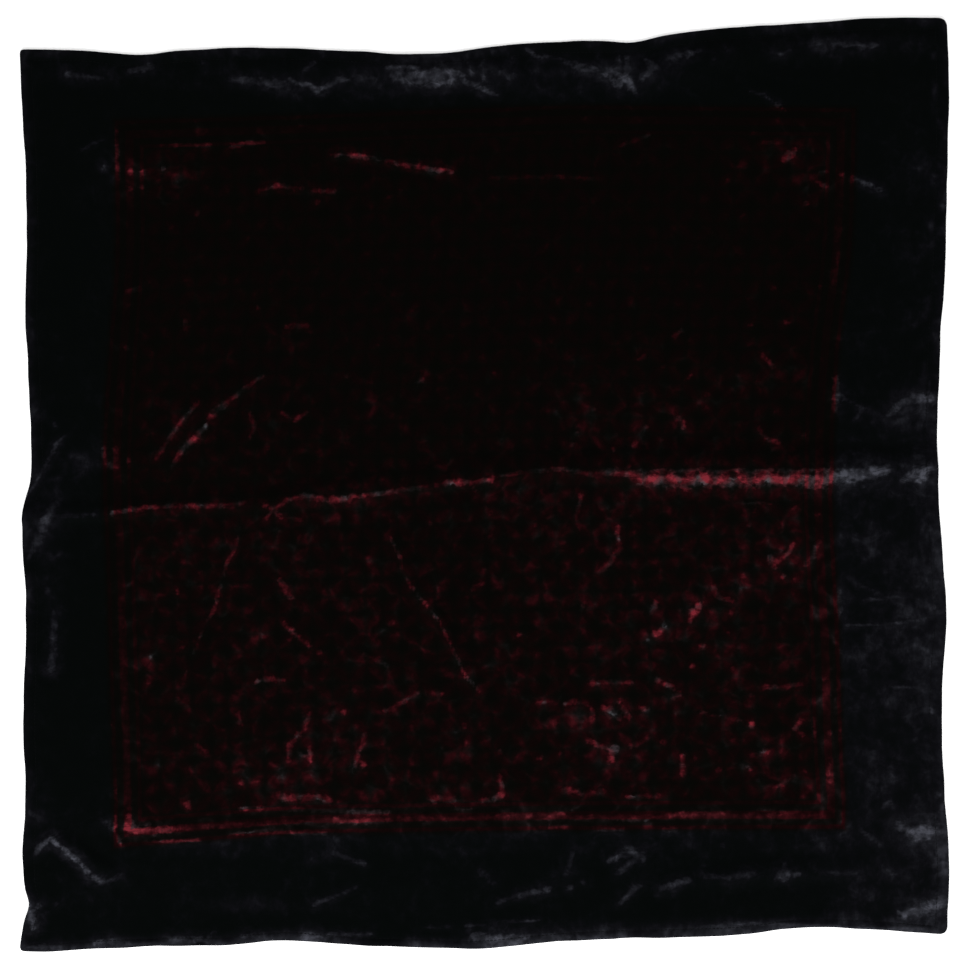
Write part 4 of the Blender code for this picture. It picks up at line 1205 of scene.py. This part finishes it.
# %% Shades of the dyes, up to painted highlights
# Rows: share of the pile that is pressed over, colour: the dye's own dark colour at 0, a painted highlight
# at 1. The two ends come first.
MARGIN_DYE_AND_PAINTED_SHEEN = (
    (0.0, (0.0004, 0.00076, 0.00064)),
    (1.0, (0.0298, 0.0308, 0.0386)),
    (0.04, (0.0016, 0.0016, 0.0022)),
)
GROUND_DYE_AND_PAINTED_SHEEN = (
    (0.0, (0.00055, 0.00052, 0.00026)),
    (1.0, (0.018, 0.0130, 0.0150)),
    (0.04, (0.0012, 0.0012, 0.0010)),
)
RED_DYE_AND_PAINTED_SHEEN = (
    (0.0, (0.0010, 0.00042, 0.00030)),
    (1.0, (0.092, 0.0080, 0.0125)),
    (0.04, (0.0054, 0.00066, 0.00095)),
)

# How much brighter the painted highlight of the red is than its dim leaning shade
pressed_light, standing_light = RED_DYE_AND_PAINTED_SHEEN[1][1][0], RED_DYE_AND_PAINTED_SHEEN[2][1][0]
print("Pressed red pile is", round(pressed_light / standing_light), "times as bright as leaning pile")

# %% [markdown]
# ## Noise in the pile
#
# No two tufts of crushed pile lie alike. Grain, specks, lumps and tufts are clouds of noise of
# growing size, and drift is the broadest. In the margins the pile is combed into wisps and silky
# threads, so their clouds are drawn out along one axis. All are made once, and each later step
# picks those that it needs by name.

# %% Noises of the pile
# Rows: size in millimetres, detail, roughness, distortion
PILE_NOISES = {
    "grain": (1.2, 2.0, 0.6),
    "specks": (3.2, 2.0, 0.5),
    "ragged": (4.5, 2.0, 0.5),
    "lumps": (7.0, 2.0, 0.5),
    "tufts": (10.0, 1.5, 0.5, 0.5),
    "drift": (34.0, 2.0, 0.5),
}
WISP_NOISE = (3.6, 3.0, 0.6)
WISP_SCALES = (1.0, 0.55, 1.0)
SILK_NOISE = (12.0, 4.0, 0.6, 1.2)
SILK_SCALES = (0.6, 1.0, 1.0)
THREAD_EDGE = 0.08


def pile_noises(tree, place):
    """The noises of the pile by name, round zero, and the threads, which are 1 where silk is 0."""
    noises = {name: centred(tree, place, *form) for name, form in PILE_NOISES.items()}
    noises["wisps"] = centred(tree, stretched(tree, place, WISP_SCALES), *WISP_NOISE)
    silk = centred(tree, stretched(tree, place, SILK_SCALES), *SILK_NOISE)
    noises["threads"] = soft_edge(tree, calc(tree, "ABSOLUTE", silk), 0.0, THREAD_EDGE, 1.0, 0.0)
    return noises


# %% [markdown]
# ## The mottled nap, painted light
#
# The painted nap kept on the points is smooth, but real pile is mottled. So it is multiplied by e
# to the power of a sum of noises. That leaves most of the cloth dim and gives a few small places
# many times the painted light, as pressed pile does in the lamp.

# %% Broad painted nap in mottles
# How much each noise counts in the painted nap: anywhere, in the print, and in the margins
MOTTLE = {"drift": 6.0, "grain": 0.8}
PRINT_MARKS = {"tufts": 9.5, "specks": 2.0}
MARGIN_MARKS = {"tufts": 5.5, "threads": 0.35, "wisps": 3.4}

# The steady part of the painted nap: its change in the print, and what it is in the margins
STEADY_SHARE = (-0.18, 0.32)
MOTTLED_SHARE = 0.70
PAINTED_NAP_LIMIT = 1.3


def broad_painted_nap(tree, noises, in_print):
    """The kept painted nap in mottles: painted marks as large as a petal in the print, silky threads
    outside it.

    With n the mottled nap, the result is n / (1 + limit * n), which keeps bright places apart.
    """
    petal_marks = weighted(tree, noises, PRINT_MARKS)
    combed = weighted(tree, noises, MARGIN_MARKS)
    own = calc(tree, "MULTIPLY_ADD", calc(tree, "SUBTRACT", petal_marks, combed), in_print, combed)
    mottled = calc(tree, "EXPONENT", calc(tree, "ADD", weighted(tree, noises, MOTTLE), own))
    steady = calc(tree, "MULTIPLY_ADD", in_print, *STEADY_SHARE)
    share = calc(tree, "MULTIPLY_ADD", mottled, MOTTLED_SHARE, steady)
    broad = calc(tree, "MULTIPLY", kept_number(tree, "painted_nap"), share)
    return calc(tree, "DIVIDE", broad, calc(tree, "MULTIPLY_ADD", broad, PAINTED_NAP_LIMIT, 1.0))


# %% [markdown]
# ## The painted gleams in the pile
#
# Each point knows how far it is from the nearest gleam. A little noise is added to that distance,
# so a painted stroke has a ragged edge, and a wide faint painted haze lies round it. The painted
# light along it gathers in beads, made by a power of e again.

# %% Painted light of the gleams
# How much the noises count in the beads, and the edges in half widths of the stroke
GLEAM_GRAIN = 0.5
GLEAM_THREADS = 0.6
RAGGEDNESS = 2.6
STROKE_EDGE = (-0.2, 1.35)
HAZE_EDGE = (0.4, 4.5)
HAZE_LIGHT = 0.12
GLEAM_POWER = 2.0
GLEAM_SHARE = 0.62

# Painted haze and lumps: their change in the print, and what they are in the margins
HAZE_SHARE = (-0.6, 1.0)
LUMP_STRENGTH = (1.6, 4.0)


def gleams(tree, noises, in_print):
    """Painted light of the strokes and spots, with a ragged edge, a haze round it, and beads along it."""
    distance = kept_number(tree, "gleam_distance")
    edge = calc(tree, "MULTIPLY_ADD", noises["ragged"], RAGGEDNESS, distance)
    stroke = soft_edge(tree, edge, *STROKE_EDGE, 1.0, 0.0)
    haze = soft_edge(tree, edge, *HAZE_EDGE, HAZE_LIGHT, 0.0)
    haze = calc(tree, "MULTIPLY", haze, calc(tree, "MULTIPLY_ADD", in_print, *HAZE_SHARE))
    lump_strength = calc(tree, "MULTIPLY_ADD", in_print, *LUMP_STRENGTH)
    weights = {"grain": GLEAM_GRAIN, "lumps": lump_strength, "threads": GLEAM_THREADS}
    beads = calc(tree, "EXPONENT", weighted(tree, noises, weights))
    light = calc(tree, "POWER", kept_number(tree, "gleam_light"), GLEAM_POWER)
    lit = calc(tree, "MULTIPLY", calc(tree, "ADD", stroke, haze), light)
    return calc(tree, "MULTIPLY", calc(tree, "MULTIPLY", lit, beads), GLEAM_SHARE)


# %% [markdown]
# ## The finish of the velvet
#
# The painted light of the nap and the gleams together chooses the shades, and the masks of the
# print choose the dye. On the black ground between the petals a few beads turn grey: painted
# glints. Pile is rough, hardly glossy, and has a faint sheen along its edges. Its hairs are far too
# fine to model, so they are relief.

# %% Velvet
# Grey beads, painted glints: their noise, their edge in it, and the painted sheen they need
GREY_PAINTED_GLINT = (0.034, 0.036, 0.040)
BEAD_NOISE = (9.0, 2.0)
BEAD_EDGE = (0.56, 0.70)
BEAD_SHARE = 0.8
BEAD_PAINTED_SHEEN = (0.05, 0.35)

# What the material starts from, before its nodes take over: colour, roughness
PILE_START = (MARGIN_DYE_AND_PAINTED_SHEEN[0][1], 0.9)

# Gloss of the pile, with its roughness standing and pressed, and relief: strength, depth
PILE_ROUGHNESS = (0.92, 0.62)
SMOOTHEST_AT = 0.6
PILE_SPECULAR = 0.012
SHEEN_WEIGHT = 0.06
SHEEN_ROUGHNESS = 0.3
SHEEN_TINT = (0.75, 0.82, 1.0, 1.0)
HAIR_NOISE = (0.45, 2.0, 0.7)
FINE_TUFT_NOISE = (2.4, 3.0, 0.6)
FINE_TUFT_HEIGHT = 1.5
PILE_RELIEF = (0.35, 0.4)


def pressed_pile_painted_sheen(tree, place, in_print):
    """How far the pile is pressed over, from 0 to 1, which picks the painted highlight of its shades: the
    mottled nap and the gleams, both painted light.
    """
    noises = pile_noises(tree, place)
    broad = broad_painted_nap(tree, noises, in_print)
    return calc(tree, "ADD", broad, gleams(tree, noises, in_print), clamp=True)


def velvet(name, printed):
    """Black velvet, with the red print or without it. Its colour, with its painted light and shade, its
    gloss and its bump follow the pile.
    """
    material, tree, shader, place = started(name, *PILE_START)
    if printed:
        in_print, red = print_masks(tree, place)
        pressed_painted_sheen = pressed_pile_painted_sheen(tree, place, in_print)
        bead = soft_edge(tree, cloud(tree, place, *BEAD_NOISE), *BEAD_EDGE, 0.0, BEAD_SHARE)
        bead = calc(tree, "MULTIPLY", bead, soft_edge(tree, pressed_painted_sheen, *BEAD_PAINTED_SHEEN))
        # The shades put painted light and shade into the colour, and the grey beads are painted glints on
        # the black ground
        ground = mixed(tree, bead, shades(tree, pressed_painted_sheen, GROUND_DYE_AND_PAINTED_SHEEN), GREY_PAINTED_GLINT)
        inner = mixed(tree, red, ground, shades(tree, pressed_painted_sheen, RED_DYE_AND_PAINTED_SHEEN))
        colour = mixed(tree, in_print, shades(tree, pressed_painted_sheen, MARGIN_DYE_AND_PAINTED_SHEEN), inner)
    else:
        pressed_painted_sheen = pressed_pile_painted_sheen(tree, place, 0.0)
        colour = shades(tree, pressed_painted_sheen, MARGIN_DYE_AND_PAINTED_SHEEN)
    roughness = soft_edge(tree, pressed_painted_sheen, 0.0, SMOOTHEST_AT, *PILE_ROUGHNESS)
    tree.links.new(colour, shader.inputs["Base Color"])
    tree.links.new(roughness, shader.inputs["Roughness"])
    shader.inputs["Specular IOR Level"].default_value = PILE_SPECULAR
    shader.inputs["Sheen Weight"].default_value = SHEEN_WEIGHT
    shader.inputs["Sheen Roughness"].default_value = SHEEN_ROUGHNESS
    shader.inputs["Sheen Tint"].default_value = SHEEN_TINT
    hairs = cloud(tree, place, *HAIR_NOISE)
    tufts = cloud(tree, place, *FINE_TUFT_NOISE)
    pile = calc(tree, "MULTIPLY_ADD", tufts, FINE_TUFT_HEIGHT, hairs)
    raise_relief(tree, shader, pile, *PILE_RELIEF)
    return material


printed_velvet = velvet("printed_velvet", printed=True)
plain_velvet = velvet("plain_velvet", printed=False)
print("The printed velvet has", len(printed_velvet.node_tree.nodes), "nodes")

# %% [markdown]
# ## The back of the cloth and the thread
#
# The back of a velvet has no pile. It is a close plain weave of the ground threads, a little paler
# than the face and worn in patches. Two crossed waves make the threads, and at each point the
# higher of the two lies on top. The hems are stitched with dull black thread that shows its twist.

# %% Waves of thread
WAVE_SPACING = math.pi / 10.0
WAVE_DISTORTION = 0.6


def waves(tree, place, pitch, direction):
    """Evenly spaced threads along one axis, from 0 to 1. At scale 1 the node sets them pi / 10 apart."""
    node = tree.nodes.new("ShaderNodeTexWave")
    tree.links.new(place, node.inputs["Vector"])
    node.bands_direction = direction
    node.inputs["Scale"].default_value = WAVE_SPACING / (pitch * MM)
    node.inputs["Distortion"].default_value = WAVE_DISTORTION
    node.inputs["Detail"].default_value = 1.0
    return node.outputs["Fac"]


# %% Woven back
# Low and high in the weave, and its relief: strength, depth
THREAD_PITCH = 0.7
BACK_START = (MARGIN_DYE_AND_PAINTED_SHEEN[0][1], 0.85)
BACK_LOW = (0.0045, 0.0045, 0.0055)
BACK_HIGH = (0.018, 0.0165, 0.018)
BACK_WEAR_NOISE = (30.0, 3.0)
BACK_WEAR_EDGE = (0.3, 0.7)
BACK_SHADE = {"worn": 0.35, "crossing": 0.65}
BACK_ROUGHNESS = (0.92, 0.7)
BACK_SPECULAR = 0.2
BACK_RELIEF = (0.5, 0.2)


def woven_back(name):
    """The plain woven side of the velvet."""
    material, tree, shader, place = started(name, *BACK_START)
    warp, weft = (waves(tree, place, THREAD_PITCH, axis) for axis in ("X", "Y"))
    crossing = calc(tree, "MAXIMUM", warp, weft)
    worn = soft_edge(tree, cloud(tree, place, *BACK_WEAR_NOISE), *BACK_WEAR_EDGE)
    shade = weighted(tree, {"worn": worn, "crossing": crossing}, BACK_SHADE)
    tree.links.new(mixed(tree, shade, BACK_LOW, BACK_HIGH), shader.inputs["Base Color"])
    roughness = soft_edge(tree, crossing, 0.0, 1.0, *BACK_ROUGHNESS)
    tree.links.new(roughness, shader.inputs["Roughness"])
    shader.inputs["Specular IOR Level"].default_value = BACK_SPECULAR
    raise_relief(tree, shader, crossing, *BACK_RELIEF)
    return material


# %% Black thread
# Low and high in its twist
TWIST_PITCH = 0.5
STRAND_START = ((0.0006, 0.0008, 0.0008), 0.8)
STRAND_LOW = (0.0003, 0.0005, 0.0005)
STRAND_HIGH = (0.0012, 0.0014, 0.0016)
STRAND_ROUGHNESS = (0.85, 0.7)
STRAND_SPECULAR = 0.04


def black_thread(name):
    """Twisted black sewing thread."""
    material, tree, shader, place = started(name, *STRAND_START)
    twist = waves(tree, place, TWIST_PITCH, "DIAGONAL")
    tree.links.new(mixed(tree, twist, STRAND_LOW, STRAND_HIGH), shader.inputs["Base Color"])
    roughness = soft_edge(tree, twist, 0.0, 1.0, *STRAND_ROUGHNESS)
    tree.links.new(roughness, shader.inputs["Roughness"])
    shader.inputs["Specular IOR Level"].default_value = STRAND_SPECULAR
    return material


woven_side = woven_back("woven_back")
thread = black_thread("black_thread")
print("Four finishes:", [printed_velvet.name, plain_velvet.name, woven_side.name, thread.name])

# %% [markdown]
# ## The panel
#
# The panel is the whole printed square inside the four seams. Its upper face is a fine grid of
# 280 by 280 quads over the flat square, laid in place and lifted. The underside is a coarser grid
# on every second line, one wall below, because nobody reads creases there, and it is hollowed
# along the seams for the stitches on the back. A fan of triangles joins the two grids round the
# edge, so the shell is closed.

# %% Cloth beside the seams
PUCKER_PITCH = 9.0
PUCKER_HEIGHT = 0.35
PUCKER_REACH = 9.0
PUCKER_SEED = 21
SEAMS_APART = 1000.0
DITCH_DEPTH = 0.25
DITCH_REACH = 2.5


def seam_distance(across, up):
    """How far a point of the flat square is from the nearest seam, and how far along that seam.

    The top and bottom seams are counted from a far number, so that their puckers differ.
    """
    to_sides = np.stack(
        [
            across - HEM_WIDTH["left"],
            FLAT_SIDE - HEM_WIDTH["right"] - across,
            up - HEM_WIDTH["bottom"],
            FLAT_SIDE - HEM_WIDTH["top"] - up,
        ]
    )
    nearest = np.argmin(np.abs(to_sides), axis=0)
    away = np.take_along_axis(to_sides, nearest[None], 0)[0]
    return away, np.where(nearest < 2, up, across + SEAMS_APART)


def stitched_down(across, up):
    """The cloth beside a row of stitches: it dips into the ditch, and puckers on both sides of it."""
    away, along = seam_distance(across, up)
    swell = soft_noise(along, np.zeros(along.shape), PUCKER_PITCH, PUCKER_SEED)
    pucker = PUCKER_HEIGHT * swell * np.exp(-((away / PUCKER_REACH) ** 2))
    return pucker - DITCH_DEPTH * np.exp(-((away / DITCH_REACH) ** 2))


# %% Face of the panel
FINE_CELLS = 280

lines_across = np.linspace(HEM_WIDTH["left"], FLAT_SIDE - HEM_WIDTH["right"], FINE_CELLS + 1)
lines_up = np.linspace(HEM_WIDTH["bottom"], FLAT_SIDE - HEM_WIDTH["top"], FINE_CELLS + 1)
panel_across, panel_up = np.meshgrid(lines_across, lines_up)
panel_x, panel_y = laid_place(panel_across, panel_up)
panel_numbers = cloth_numbers(panel_across, panel_up)
panel_lift = cloth_lift(panel_x, panel_y, panel_numbers["gleam_distance"], panel_numbers["gleam_light"])
panel_top = np.maximum(panel_lift + CLOTH_WALL + stitched_down(panel_across, panel_up), CLOTH_WALL / 2)
print("The panel's face reaches from", np.round([panel_top.min(), panel_top.max()], 1), "mm")


# %% Closed shell of the panel
UNDER_STEP = 2
PILE_WALL = 1.2
BACK_DITCH_DEPTH = 0.4


def rim_of(grid):
    """The numbers round the edge of a grid of point numbers, once round."""
    return np.concatenate([grid[0, :-1], grid[:-1, -1], grid[-1, :0:-1], grid[:0:-1, 0]])


def grid_quads(grid):
    """The quads of a grid of point numbers, counterclockwise seen from above."""
    return np.stack([grid[:-1, :-1], grid[:-1, 1:], grid[1:, 1:], grid[1:, :-1]], axis=-1).reshape(-1, 4)


def make_panel():
    """The closed shell of the printed square, with the woven back on its underside."""
    fine = np.arange(panel_x.size).reshape(panel_x.shape)
    every = slice(None, None, UNDER_STEP)
    kept = fine[every, every]
    coarse = np.arange(kept.size).reshape(kept.shape) + fine.size
    away = seam_distance(panel_across, panel_up)[0]
    back_ditch = BACK_DITCH_DEPTH * np.exp(-((away / DITCH_REACH) ** 2))
    under = (np.maximum(panel_top - PILE_WALL, 0.0) + back_ditch)[every, every]
    x = np.concatenate([panel_x.ravel(), panel_x[every, every].ravel()]) - MIDDLE[0]
    y = np.concatenate([panel_y.ravel(), panel_y[every, every].ravel()]) - MIDDLE[1]
    points = np.stack([x, y, np.concatenate([panel_top.ravel(), under.ravel()])], axis=-1)
    above, below = rim_of(fine), rim_of(coarse)
    above_ahead, below_ahead = np.roll(above, -1), np.roll(below, -1)
    first, second = above[0::2], above[1::2]
    fans = np.concatenate(
        [
            np.stack([below, below_ahead, second], axis=-1),
            np.stack([first, below, second], axis=-1),
            np.stack([second, below_ahead, above_ahead[1::2]], axis=-1),
        ]
    )
    faces = [grid_quads(fine), grid_quads(coarse)[:, ::-1], fans]
    on_back = np.concatenate([np.full(len(block), index == 1) for index, block in enumerate(faces)])
    panel = made_mesh("printed_square", points, faces, (printed_velvet, woven_side), on_back)
    under_numbers = {name: values[every, every] for name, values in panel_numbers.items()}
    keep_numbers(
        panel,
        {
            name: np.concatenate([values.ravel(), under_numbers[name].ravel()])
            for name, values in panel_numbers.items()
        },
    )
    return panel


panel = make_panel()
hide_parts("velvet_square")

# %% [markdown]
# ## The turned hems
#
# Each side is turned under twice and stitched down, which makes a flat roll 6 to 9 mm wide. Its
# section is a flattened oval. It is carried along the side in as many steps as the panel has, from
# the same points of the flat square, and its inner edge tucks a little under the panel, so the
# seam between them closes. At the corners the rolls meet on a mitre, and each end has a lid.

# %% Places of a hem's points
MITRE_GAP = 0.04
SEAM_OVERLAP = 0.3


def hem_grids(side, before, after, share):
    """Places in the flat square of a hem's points: share 0 is the rim and share 1 is the seam.

    The stations are those of the panel at the seam, and they spread evenly towards the rim.
    """
    start = share[:, None] * HEM_WIDTH[before] + MITRE_GAP
    end = FLAT_SIDE - share[:, None] * HEM_WIDTH[after] - MITRE_GAP
    station = np.linspace(0.0, 1.0, FINE_CELLS + 1)
    along = start + (end - start) * station[None, :]
    depth = np.broadcast_to(share[:, None] * (HEM_WIDTH[side] + SEAM_OVERLAP), along.shape)
    return {
        "bottom": (along, depth),
        "right": (FLAT_SIDE - depth, along),
        "top": (FLAT_SIDE - along, FLAT_SIDE - depth),
        "left": (depth, FLAT_SIDE - along),
    }[side]


# %% Hem rolls
HEM_POINTS = 18
HEM_THICKNESS = 2.2
HEM_ROUNDNESS = 0.62
HEM_FLATNESS = 0.32
SEAM_TUCK = 0.15

# The uneven rim: how far it sways, size of the waves, their row in the noise, seed
RIM_SWAY = 0.45
RIM_SWAY_SIZE = 17.0
RIM_SWAY_ROW = 90.0
RIM_SWAY_SEED = 33

# The uneven roll: how much it swells, and the same three
ROLL_SWELL = 0.40
ROLL_SWELL_SIZE = 13.0
ROLL_SWELL_ROW = 50.0
ROLL_SWELL_SEED = 31


def make_hem(name, side, before, after, *nodes):
    """One turned hem: a flattened oval carried along the side, with a lid at both ends.

    Round the oval at angle t the share of the width is (1 - cos t) / 2, and the height is the
    middle plus half the thickness times sin t to a power, flatter below than above.
    """
    turn = np.linspace(0.0, 2 * np.pi, HEM_POINTS, endpoint=False)
    share = (1 - np.cos(turn)) / 2
    rise = np.where(
        turn <= np.pi, np.abs(np.sin(turn)) ** HEM_ROUNDNESS, -(np.abs(np.sin(turn)) ** HEM_FLATNESS)
    )
    across, up = hem_grids(side, before, after, share)
    x, y = laid_place(across, up)
    numbers = cloth_numbers(across, up)
    lift = cloth_lift(x, y, numbers["gleam_distance"], numbers["gleam_light"])
    along = {"bottom": across, "top": across, "left": up, "right": up}[side]
    swell_row = np.full(along.shape, ROLL_SWELL_ROW)
    swell = 1 + ROLL_SWELL * soft_noise(along, swell_row, ROLL_SWELL_SIZE, ROLL_SWELL_SEED)
    half_roll = HEM_THICKNESS / 2
    height = half_roll + half_roll * rise[:, None] * np.where(rise[:, None] > 0, swell, 1.0)
    seam_top = CLOTH_WALL + stitched_down(across, up) - SEAM_TUCK
    height = height + share[:, None] ** 2 * (np.minimum(seam_top, height) - height) * (rise[:, None] > 0)
    sway_row = np.full(along.shape, RIM_SWAY_ROW)
    uneven = soft_noise(along, sway_row, RIM_SWAY_SIZE, RIM_SWAY_SEED)
    sway = RIM_SWAY * (1 - share[:, None]) * uneven
    inward = {"bottom": (0, 1), "top": (0, -1), "left": (1, 0), "right": (-1, 0)}[side]
    x, y = x + sway * inward[0] - MIDDLE[0], y + sway * inward[1] - MIDDLE[1]
    points = np.stack([x, y, lift + height], axis=-1).reshape(-1, 3)
    grid = np.arange(x.size).reshape(x.shape)
    closed = np.concatenate([grid, grid[:1]])
    lids = [grid[:, :1].T, grid[::-1, -1:].T]
    piece = made_mesh(name, points, [grid_quads(closed)[:, ::-1], *lids], (plain_velvet,))
    keep_numbers(piece, numbers)
    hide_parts(*nodes)
    return piece


hems = [
    make_hem("turned_hem_bottom", "bottom", "left", "right", "hem_bottom"),
    make_hem("turned_hem_right", "right", "bottom", "top", "hem_right_lower", "hem_right_upper"),
    make_hem("turned_hem_top", "top", "right", "left", "hem_top"),
    make_hem("turned_hem_left", "left", "top", "bottom", "hem_left_upper", "hem_left_lower"),
]

# %% [markdown]
# ## The stitches
#
# A machine stitch shows as a row of short dashes in the ditch of each seam, on the face and on the
# back. One dash is a tiny closed bead with a few dozen faces. It is copied along the seams by
# adding two arrays, and each side's dashes are joined into one mesh.

# %% One dash
STITCH_LENGTH = 2.3
STITCH_RADIUS = 0.2
STITCH_SIDES = 6
STITCH_RINGS = 5


def dash():
    """One dash along X: rings of a bead whose radius is that of a stretched ball, and two poles."""
    bend = np.linspace(-np.pi / 2, np.pi / 2, STITCH_RINGS + 2)[1:-1]
    turn = np.arange(STITCH_SIDES) * 2 * np.pi / STITCH_SIDES
    ring = np.cos(bend)[:, None] ** 0.5 * STITCH_RADIUS
    x = np.broadcast_to(np.sin(bend)[:, None] * STITCH_LENGTH / 2, (STITCH_RINGS, STITCH_SIDES))
    points = np.stack([x, ring * np.cos(turn), ring * np.sin(turn)], axis=-1).reshape(-1, 3)
    poles = [(-STITCH_LENGTH / 2, 0.0, 0.0), (STITCH_LENGTH / 2, 0.0, 0.0)]
    grid = np.arange(STITCH_RINGS * STITCH_SIDES).reshape(STITCH_RINGS, STITCH_SIDES)
    closed = np.concatenate([grid, grid[:, :1]], axis=1)
    first, last = len(points), len(points) + 1
    start_cap = [(first, b, a) for a, b in zip(closed[0, :-1], closed[0, 1:])]
    end_cap = [(last, a, b) for a, b in zip(closed[-1, :-1], closed[-1, 1:])]
    return np.concatenate([points, poles]), grid_quads(closed)[:, ::-1], np.array(start_cap + end_cap)


# %% Rows of dashes
STITCH_PITCH = 3.0

# A few are left out at the corners, and each one leans a little its own way, in radians
STITCHES_LEFT_OUT = 6
LEAN_SPREAD = 0.05


def seam_points(side, count):
    """Places of the stitches in the flat square, along one seam."""
    low = {"bottom": "left", "top": "left", "left": "bottom", "right": "bottom"}[side]
    high = {"bottom": "right", "top": "right", "left": "top", "right": "top"}[side]
    along = np.linspace(HEM_WIDTH[low] + STITCH_PITCH, FLAT_SIDE - HEM_WIDTH[high] - STITCH_PITCH, count)
    fixed = np.full(count, HEM_WIDTH[side] if side in ("bottom", "left") else FLAT_SIDE - HEM_WIDTH[side])
    return (along, fixed) if side in ("bottom", "top") else (fixed, along)


def make_stitches(side):
    """The dashes of one seam, on the face and on the back, each turned along the seam under it."""
    count = int(FLAT_SIDE / STITCH_PITCH) - STITCHES_LEFT_OUT
    across, up = seam_points(side, count)
    x, y = laid_place(across, up)
    lift = cloth_lift(x, y, *nearest_gleam(x, y))
    face = lift + CLOTH_WALL + stitched_down(across, up)
    rng = np.random.default_rng(len(side))
    lean = np.arctan2(np.gradient(y), np.gradient(x)) + rng.normal(0.0, LEAN_SPREAD, count)
    slope = np.arctan(np.gradient(face) / np.hypot(np.gradient(x), np.gradient(y)))
    shape, quads, caps = dash()
    blocks = []
    for height in (face, lift + STITCH_RADIUS):
        tilted = shape[None, :, 0] * np.cos(slope)[:, None] - shape[None, :, 2] * np.sin(slope)[:, None]
        raised = shape[None, :, 0] * np.sin(slope)[:, None] + shape[None, :, 2] * np.cos(slope)[:, None]
        dash_x = x[:, None] + tilted * np.cos(lean)[:, None] - shape[None, :, 1] * np.sin(lean)[:, None]
        dash_y = y[:, None] + tilted * np.sin(lean)[:, None] + shape[None, :, 1] * np.cos(lean)[:, None]
        blocks.append(np.stack([dash_x - MIDDLE[0], dash_y - MIDDLE[1], height[:, None] + raised], axis=-1))
    points = np.concatenate(blocks).reshape(-1, 3)
    steps = (np.arange(2 * count) * len(shape))[:, None, None]
    faces = [(block[None] + steps).reshape(-1, block.shape[1]) for block in (quads, caps)]
    piece = made_mesh(f"stitches_{side}", points, faces, (thread,))
    return piece


stitches = [make_stitches(side) for side in HEM_WIDTH]
